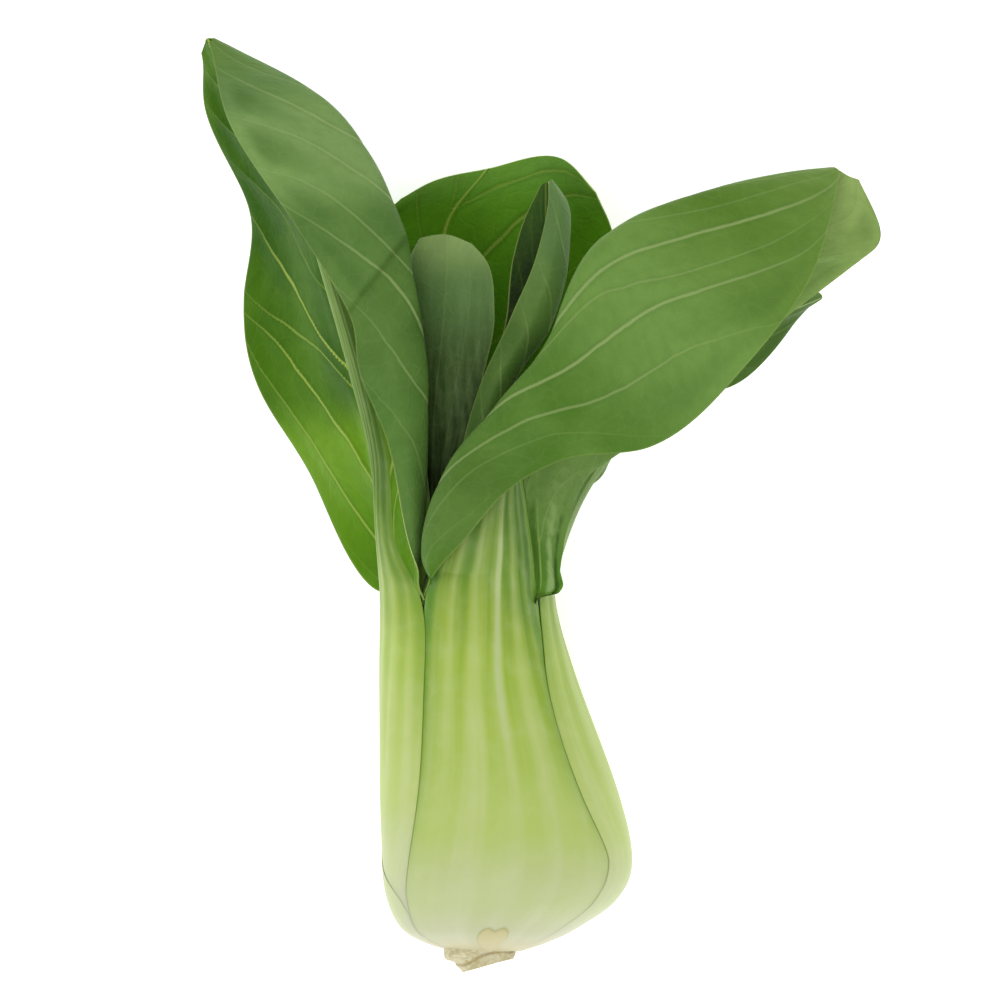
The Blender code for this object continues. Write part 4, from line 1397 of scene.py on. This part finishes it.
def blade_finish(name, side, seed):
    """Leaf tissue under a thin wax bloom, grown: soft mottling, side veins, and a net of finer ones, with
    painted shade in the hollows between the veins and beside them, painted light and shade on folds, and a
    pale rim that is partly a painted highlight.
    """
    settings = bpy.context.scene.bok_choy
    look = {**LOOKS[side["look"]], **side}
    paint = Painter(name)
    reach, half = paint.value("reach"), paint.value("half")
    flat = paint.place(paint.value("side"), paint.value("run"), seed)
    stir = paint.times(paint.math("SUBTRACT", paint.noise(flat, STIR_SIZE), 0.5), 0.12)
    counted = paint.math("ADD", paint.value("vein"), stir)
    beside = paint.math("SUBTRACT", paint.math("FRACT", paint.math("ADD", counted, 0.5)), 0.5)
    away = paint.times(paint.math("ABSOLUTE", beside), paint.value("gap"))
    bold = paint.times(paint.value("bold"), paint.ease(half, 0.5, 1.0, 1.0, 0.3))
    width = paint.math("MULTIPLY_ADD", bold, settings.vein_width, 0.25)
    side_vein = paint.ease(paint.math("DIVIDE", away, width), 0.3, 1.0, 1.0, 0.0)
    side_vein = paint.times(side_vein, bold)
    bent = paint.bent(flat, 5.0, 3.0)
    net = paint.cells(bent, NET_SIZE, 0.5)
    fine_net = paint.cells(bent, FINE_NET_SIZE, 0.3)
    midrib_width = paint.ease(reach, 0.1, 1.0, 1.6, 0.4)
    midrib = paint.math("DIVIDE", paint.math("ABSOLUTE", paint.value("side")), midrib_width)
    midrib = paint.ease(midrib, 0.5, 1.0, look["midrib"], 0.0)
    colour = paint.ramp(reach, side["colours"])
    # A side may paint the part that lies folded over lighter than the rest: painted light on the raised fold.
    if "upper" in side:
        colour = paint.mix(paint.value("upper"), colour, paint.ramp(reach, side["upper"]))
    patches = paint.ease(paint.noise(flat, PATCH_SIZE, 2.0), 0.32, 0.68)
    colour = paint.mix(paint.times(patches, look["patchy"]), colour, look["patch"])
    mottle = paint.ease(paint.noise(flat, MOTTLE_SIZE, 4.0), 0.35, 0.75)
    colour = paint.mix(paint.times(mottle, look["mottled"]), colour, look["mottle"])
    if "streaked" in side:
        drawn_out = paint.times(paint.value("run"), BLADE_STREAK_LENGTHENING)
        long_place = paint.place(paint.value("side"), drawn_out, seed)
        streak = paint.noise(long_place, BLADE_STREAK_SIZE, 3.0)
        streak = paint.ease(streak, 0.35, 0.7, 0.0, side["streaked"])
        colour = paint.mix(streak, colour, look["mottle"])
    # Painted shade in the hollows between the side veins, drawn in the look's mottle colour.
    painted_hollow_shade = paint.ease(paint.value("quilted"), 0.1, 0.8, 0.0, look["hollow_shade"])
    colour = paint.mix(painted_hollow_shade, colour, look["mottle"])
    colour = paint.mix(paint.times(fine_net, look["fine_net"]), colour, look["vein"])
    colour = paint.mix(paint.times(net, look["net"]), colour, look["vein"])
    # Painted shade beside each side vein, as in the groove it lies in, drawn in the look's mottle colour.
    shade = paint.ease(paint.math("DIVIDE", away, width), 0.9, 3.0, look["beside"], 0.0)
    colour = paint.mix(paint.times(shade, bold), colour, look["mottle"])
    colour = paint.mix(paint.times(side_vein, look["strength"]), colour, look["vein"])
    colour = paint.mix(midrib, colour, look["vein"])
    # Painted shade and light along the long folds, with rough edges from the mottling.
    for number, fold in enumerate(side.get("folds", ())):
        rough_edge = paint.math("MULTIPLY_ADD", mottle, -0.4, paint.value(f"fold_{number}"))
        colour = paint.mix(paint.ease(rough_edge, 0.0, 0.7, 0.0, 0.85), colour, fold)
    # The pale rim: partly the margin's own colour, partly a painted highlight where the edge catches the
    # light.
    rim = paint.ease(paint.value("rim"), 0.1, 0.5, look["rim"], 0.0)
    colour = paint.mix(rim, colour, PALE_MARGIN_AND_HIGHLIGHT)
    net_height = paint.math("MULTIPLY_ADD", net, 0.3, paint.times(fine_net, 0.2))
    height = paint.times(paint.math("ADD", side_vein, net_height), look["rise"])
    height = paint.math("MULTIPLY_ADD", mottle, 0.2, height)
    roughness = paint.math("MULTIPLY_ADD", mottle, 0.08, settings.blade_roughness)
    paint.shader.inputs["IOR"].default_value = 1.42
    paint.shader.inputs["Specular IOR Level"].default_value = 0.12
    paint.shader.inputs["Sheen Weight"].default_value = look["bloom"]
    return paint.finish(colour, height, 0.16, roughness)


def margin_finish():
    """The thin edge of a blade, where the green stops just short of the rim and leaves it pale, the paleness
    partly a painted highlight where the edge catches the light.
    """
    paint = Painter("Leaf margin, thin and pale")
    place = paint.place(paint.value("side"), paint.value("run"))
    speckle = paint.ease(paint.noise(place, 1.5), 0.35, 0.7)
    colour = paint.mix(speckle, PALE_MARGIN_AND_HIGHLIGHT, MARGIN_SPECKLE)
    roughness = paint.math("MULTIPLY_ADD", speckle, 0.1, 0.4)
    return paint.finish(colour, speckle, 0.05, roughness)


def stalk_finish(name, seed):
    """A crisp watery leaf stalk, grown smooth under wax: pale at the base, greener up, with long ribs, and
    painted crevice shade beside the margins of the stalks over it.
    """
    settings = bpy.context.scene.bok_choy
    paint = Painter(f"Stalk tissue, {name}")
    across, along = paint.value("across"), paint.value("along")
    sooner, slant = GREENING.get(name, (0.0, 0.0))
    right_half = paint.times(paint.math("MAXIMUM", across, 0.0), paint.ease(along, 40.0, 85.0))
    greening = paint.math("ADD", along, paint.math("MULTIPLY_ADD", right_half, slant, sooner))
    drawn_out = paint.times(along, STREAK_LENGTHENING)
    streak_place = paint.place(paint.times(across, STREAK_SPREAD), drawn_out, seed)
    bands = paint.ease(paint.noise(streak_place, BAND_SIZE, 1.0), 0.34, 0.64)
    streaks = paint.ease(paint.noise(streak_place, STREAK_SIZE, 2.0), 0.32, 0.68)
    ribs = paint.math("MULTIPLY_ADD", bands, 0.4, paint.times(streaks, 0.22))
    rib = paint.value("rib")
    ribs = paint.math("MULTIPLY_ADD", rib, 0.85, ribs)
    groove_colours = [(place, groove) for place, _, groove in STALK_COLOURS]
    rib_colours = [(place, pale) for place, pale, _ in STALK_COLOURS]
    ribs = paint.ease(ribs, 0.0, 1.0)
    colour = paint.mix(ribs, paint.ramp(greening, groove_colours), paint.ramp(greening, rib_colours))
    vein = paint.ease(rib, 0.4, 1.0, 0.0, 0.7)
    vein = paint.times(vein, paint.ease(along, 30.0, 55.0))
    vein = paint.times(vein, paint.ease(along, 95.0, 108.0, 1.0, 0.2))
    colour = paint.mix(vein, colour, settings_colour(settings.rib_colour))
    margin = paint.ease(paint.math("ABSOLUTE", across), 0.72, 0.98)
    margin = paint.times(margin, paint.ease(along, 40.0, 90.0, 0.0, 0.7))
    colour = paint.mix(margin, colour, STALK_TINTS["margin"])
    if name in COLLARS:
        at_margin = paint.ease(across, -0.94, -0.8, 1.0, 0.0)
        collar = paint.times(at_margin, paint.ease(along, 72.0, 80.0, 0.0, 0.8))
        colour = paint.mix(collar, colour, COLLARS[name])
    # Painted crevice shade beside the margin of each stalk that lies over this one.
    crevice_shade = paint.times(paint.value("crevice_shade"), paint.ease(along, 4.0, 70.0, 0.15, 0.8))
    colour = paint.mix(crevice_shade, colour, STALK_TINTS["crevice_shade_colour"])
    place = paint.place(paint.times(across, STREAK_SPREAD), along, seed)
    mottle = paint.noise(place, STALK_MOTTLE_SIZE, 4.0)
    colour = paint.mix(paint.ease(mottle, 0.4, 0.8, 0.0, 0.1), colour, STALK_TINTS["mottle"])
    scar = paint.value("scar")
    colour = paint.mix(paint.ease(scar, 0.05, 0.5, 0.0, 0.6), colour, STALK_TINTS["scar_rim"])
    colour = paint.mix(paint.ease(scar, 0.5, 0.95), colour, STALK_TINTS["scar"])
    cork = paint.ease(paint.math("MULTIPLY_ADD", mottle, 5.0, along), 0.5, 5.0, 0.95, 0.0)
    colour = paint.mix(cork, colour, STALK_TINTS["cork"])
    height = paint.math("MULTIPLY_ADD", streaks, 0.4, paint.times(bands, 0.6))
    height = paint.times(height, paint.ease(along, 12.0, 85.0, 0.1, 1.0))
    roughness = paint.math("MULTIPLY_ADD", mottle, 0.12, settings.stalk_roughness)
    paint.shader.inputs["IOR"].default_value = 1.4
    paint.shader.inputs["Specular IOR Level"].default_value = 0.28
    paint.shader.inputs["Subsurface Weight"].default_value = 0.12
    paint.shader.inputs["Subsurface Radius"].default_value = (1.0, 1.0, 0.4)
    paint.shader.inputs["Subsurface Scale"].default_value = 2.5 * MILLIMETRE
    return paint.finish(colour, height, 0.1, roughness)


def stem_finish():
    """The knife-cut stem: dry, fibrous and corky, beige with browner rims, matt all over."""
    paint = Painter("Stem, knife-cut and dry")
    place = add_node(paint.tree, "ShaderNodeTexCoord").outputs["Object"]
    inputs = {0: place, "Scale": 1 / MILLIMETRE}
    place = add_node(paint.tree, "ShaderNodeVectorMath", inputs, operation="SCALE").outputs[0]
    fibres = paint.ease(paint.noise(place, FIBRE_SIZE, 5.0), 0.35, 0.7)
    patches = paint.ease(paint.noise(place, CORK_SIZE, 3.0), 0.4, 0.65)
    colour = paint.mix(fibres, "#d3cba2", "#bfb384")
    colour = paint.mix(paint.times(patches, 0.5), colour, "#dcd7bb")
    colour = paint.mix(paint.times(paint.value("crack"), 0.6), colour, "#a58f58")
    roughness = paint.math("MULTIPLY_ADD", fibres, 0.15, 0.68)
    return paint.finish(colour, fibres, 0.25, roughness)


def floor_finish():
    """Matt seamless studio paper, lit from behind too: near white, its tooth drawn as coarse as it shows."""
    paint = Painter("Studio paper, matt")
    place = add_node(paint.tree, "ShaderNodeTexCoord").outputs["Object"]
    tooth = paint.noise(place, 2.0 * MILLIMETRE, 3.0)
    colour = paint.mix(paint.times(tooth, 0.1), "#fbfbfa", "#f4f4f2")
    paint.shader.inputs["Emission Color"].default_value = (1.0, 1.0, 1.0, 1.0)
    paint.shader.inputs["Emission Strength"].default_value = FLOOR_GLOW
    roughness = paint.math("MULTIPLY_ADD", tooth, 0.05, 0.9)
    return paint.finish(colour, tooth, 0.02, roughness)


def settings_colour(value):
    """A colour property as the four numbers that a colour socket takes."""
    return (value[0], value[1], value[2], 1.0)


class BokChoySettings(bpy.types.PropertyGroup):
    """The sizes and colours of the head that a user would change."""

    vein_width: bpy.props.FloatProperty(
        name="Side vein width", description="Width of the strongest side veins, in mm", default=0.4, min=0.1
    )
    blade_roughness: bpy.props.FloatProperty(
        name="Blade roughness",
        description="How matt the leaf blades are",
        default=0.42,
        min=0.0,
        max=1.0,
        subtype="FACTOR",
    )
    stalk_roughness: bpy.props.FloatProperty(
        name="Stalk roughness",
        description="How matt the leaf stalks are",
        default=0.32,
        min=0.0,
        max=1.0,
        subtype="FACTOR",
    )
    rib_colour: bpy.props.FloatVectorProperty(
        name="Rib colour",
        description="Colour of the pale middle veins along the stalks",
        default=linear("#bccb95"),
        min=0.0,
        max=1.0,
        size=3,
        subtype="COLOR",
    )
    light: bpy.props.FloatProperty(
        name="Light", description="Strength of the studio's even light", default=1.0, min=0.0
    )


def add_object(name, data):
    """A new object of the scene that holds a mesh, a lamp or a camera."""
    made = bpy.data.objects.new(name, data)
    bpy.context.scene.collection.objects.link(made)
    return made


def add_piece(name, points, faces, values, materials, kinds=None):
    """A shown piece from points in millimetres, with its coordinates stored on the mesh."""
    mesh = bpy.data.meshes.new(name)
    mesh.from_pydata(((points - ORIGIN) * MILLIMETRE).tolist(), [], faces.tolist())
    for key, value in values.items():
        stored = mesh.attributes.new(key, "FLOAT", "POINT")
        stored.data.foreach_set("value", np.ascontiguousarray(value, np.float32))
    for material in materials:
        mesh.materials.append(material)
    if kinds is not None:
        mesh.polygons.foreach_set("material_index", np.ascontiguousarray(kinds, np.int32))
    mesh.polygons.foreach_set("use_smooth", np.ones(len(mesh.polygons), bool))
    mesh.set_sharp_from_angle(angle=SHARP_FROM)
    if mesh.validate():
        raise RuntimeError(f"{name} has faulty faces")
    piece = add_object(name, mesh)
    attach(piece, "root")
    return piece


def add_leaf(leaf, seed):
    """A leaf's stalk and blade pieces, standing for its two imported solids."""
    points, faces, values = leaf.stalk_mesh()
    finish = stalk_finish(leaf.name, seed)
    stalk = add_piece(leaf.name + "_stalk_fine", points, faces, values, [finish])
    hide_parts(leaf.name + "_stalk")
    points, faces, kinds, values = leaf.blade_mesh()
    finishes = [
        blade_finish(f"Leaf tissue, {leaf.name} {face}", side, seed + number)
        for number, (face, side) in enumerate(zip(("outer", "inner"), SIDES[leaf.name]))
    ]
    finishes.append(margin_finish())
    blade = add_piece(leaf.name + "_blade_fine", points, faces, values, finishes, kinds)
    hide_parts(leaf.name + "_blade")


def add_leaves(first, last, seed):
    """Some of the leaves, counted from the outermost, each with mottling from a seed of its own."""
    for number, leaf in enumerate(all_leaves()[first:last]):
        add_leaf(leaf, seed + 10.0 * number)


class BOKCHOY_OT_stem_base(bpy.types.Operator):
    """Build the short stem with its uneven knife cut"""

    bl_idname = "bok_choy.stem_base"
    bl_label = "Stem base"

    def execute(self, context):
        rows = np.linspace(0, len(STUB_ALONG) - 1, STUB_ROWS)
        turns = -np.arange(STUB_SIDES) * 2 * math.pi / STUB_SIDES
        places = np.arange(len(STUB_ALONG))
        rings, cracks = [], []
        for along, radius in zip(spline(STUB_ALONG, places, rows), spline(STUB_RADIUS, places, rows)):
            wide, fine = STUB_UNEVEN
            uneven = 1 + wide * np.sin(2 * turns + 0.6) + fine * np.sin(3 * turns + along)
            slant = STUB_SLANT * radius * np.cos(turns) * (along < 0)
            off_ring = along - STUB_RING_ALONG + STUB_RING_WANDER * np.sin(3 * turns)
            crack = np.exp(-((off_ring / STUB_RING_SIZE) ** 2))
            radius = radius * uneven - STUB_RING_SIZE * crack
            aside, up = radius * np.cos(turns), radius * np.sin(turns)
            rings.append(np.stack([HEAD_CENTRE[0] + aside, along + slant, HEAD_LIFT + up], axis=1))
            cracks.append(crack)
        points = np.concatenate(rings)
        faces = ring_faces(len(rings), STUB_SIDES)
        values = {"crack": np.concatenate(cracks)}
        stem = add_piece("stem_base_fine", points, faces, values, [stem_finish()])
        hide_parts("stem_base")
        return {"FINISHED"}


class BOKCHOY_OT_outer_leaves(bpy.types.Operator):
    """Build the four outer leaves: back, left, right and front"""

    bl_idname = "bok_choy.outer_leaves"
    bl_label = "Outer leaves"

    def execute(self, context):
        add_leaves(0, 4, 0.0)
        return {"FINISHED"}


class BOKCHOY_OT_inner_leaves(bpy.types.Operator):
    """Build the two inner leaves: the hooded one and the slim one"""

    bl_idname = "bok_choy.inner_leaves"
    bl_label = "Inner leaves"

    def execute(self, context):
        add_leaves(4, 6, 50.0)
        return {"FINISHED"}


class BOKCHOY_OT_heart_leaves(bpy.types.Operator):
    """Build the two small leaves of the heart"""

    bl_idname = "bok_choy.heart_leaves"
    bl_label = "Heart leaves"

    def execute(self, context):
        add_leaves(6, 8, 80.0)
        return {"FINISHED"}


# The camera looks straight down, from far off with a long lens, so that high and low leaves keep their size.
VIEW_WIDTH = 0.242
VIEW_CENTRE = (-0.0101, 0.0008, 0.03)
LENS_MM = 1200.0
SENSOR_MM = 36.0
# What the camera shows lies between these distances from it, in metres.
NEAREST = 0.1
FARTHEST = 30.0
# Each lamp: its strength, how wide it is in degrees, and how far it is turned from straight down.
LAMPS = {"key": (0.95, 50.0, (28.0, -16.0, 0.0)), "fill": (0.35, 90.0, (-30.0, 25.0, 0.0))}
SKY = 0.62
FLOOR_REACH = 3.0


class BOKCHOY_OT_studio(bpy.types.Operator):
    """Make the pale floor, the soft light and the camera"""

    bl_idname = "bok_choy.studio"
    bl_label = "Studio"

    def execute(self, context):
        settings = context.scene.bok_choy
        mesh = bpy.data.meshes.new("floor")
        signs = ((-1, -1), (1, -1), (1, 1), (-1, 1))
        corners = [(x * FLOOR_REACH, y * FLOOR_REACH, 0.0) for x, y in signs]
        mesh.from_pydata(corners, [], [(0, 1, 2, 3)])
        mesh.materials.append(floor_finish())
        floor = add_object("floor", mesh)
        world = bpy.data.worlds.new("studio")
        world.use_nodes = True
        sky = world.node_tree.nodes["Background"]
        sky.inputs["Color"].default_value = (1.0, 1.0, 1.0, 1.0)
        sky.inputs["Strength"].default_value = SKY * settings.light
        context.scene.world = world
        for name, (energy, spread, turn) in LAMPS.items():
            lamp = bpy.data.lights.new(name, "SUN")
            lamp.energy = energy * settings.light
            lamp.angle = math.radians(spread)
            add_object(name, lamp).rotation_euler = [math.radians(angle) for angle in turn]
        lens = bpy.data.cameras.new("camera")
        lens.lens = LENS_MM
        lens.sensor_width = SENSOR_MM
        away = VIEW_WIDTH * LENS_MM / SENSOR_MM
        lens.clip_start = NEAREST
        lens.clip_end = FARTHEST
        camera = add_object("camera", lens)
        camera.location = (VIEW_CENTRE[0], VIEW_CENTRE[1], VIEW_CENTRE[2] + away)
        context.scene.camera = camera
        context.scene.view_settings.view_transform = "Standard"
        return {"FINISHED"}


STEPS = (
    BOKCHOY_OT_stem_base,
    BOKCHOY_OT_outer_leaves,
    BOKCHOY_OT_inner_leaves,
    BOKCHOY_OT_heart_leaves,
    BOKCHOY_OT_studio,
)


class BOKCHOY_PT_panel(bpy.types.Panel):
    """The head's sizes and colours, and a button for each group of pieces"""

    bl_idname = "BOKCHOY_PT_panel"
    bl_label = "Bok choy"
    bl_space_type = "VIEW_3D"
    bl_region_type = "UI"
    bl_category = "Bok choy"

    def draw(self, context):
        for name in BokChoySettings.__annotations__:
            self.layout.prop(context.scene.bok_choy, name)
        for step in STEPS:
            self.layout.operator(step.bl_idname)


CLASSES = (BokChoySettings, *STEPS, BOKCHOY_PT_panel)


def register():
    """Add the settings, the operators and the panel."""
    for made in CLASSES:
        bpy.utils.register_class(made)
    bpy.types.Scene.bok_choy = bpy.props.PointerProperty(type=BokChoySettings)


def unregister():
    """Take them away again."""
    del bpy.types.Scene.bok_choy
    for made in reversed(CLASSES):
        bpy.utils.unregister_class(made)


def main():
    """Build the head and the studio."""
    register()
    bpy.ops.bok_choy.stem_base()
    bpy.ops.bok_choy.outer_leaves()
    bpy.ops.bok_choy.inner_leaves()
    bpy.ops.bok_choy.heart_leaves()
    bpy.ops.bok_choy.studio()


if __name__ == "__main__":
    main()
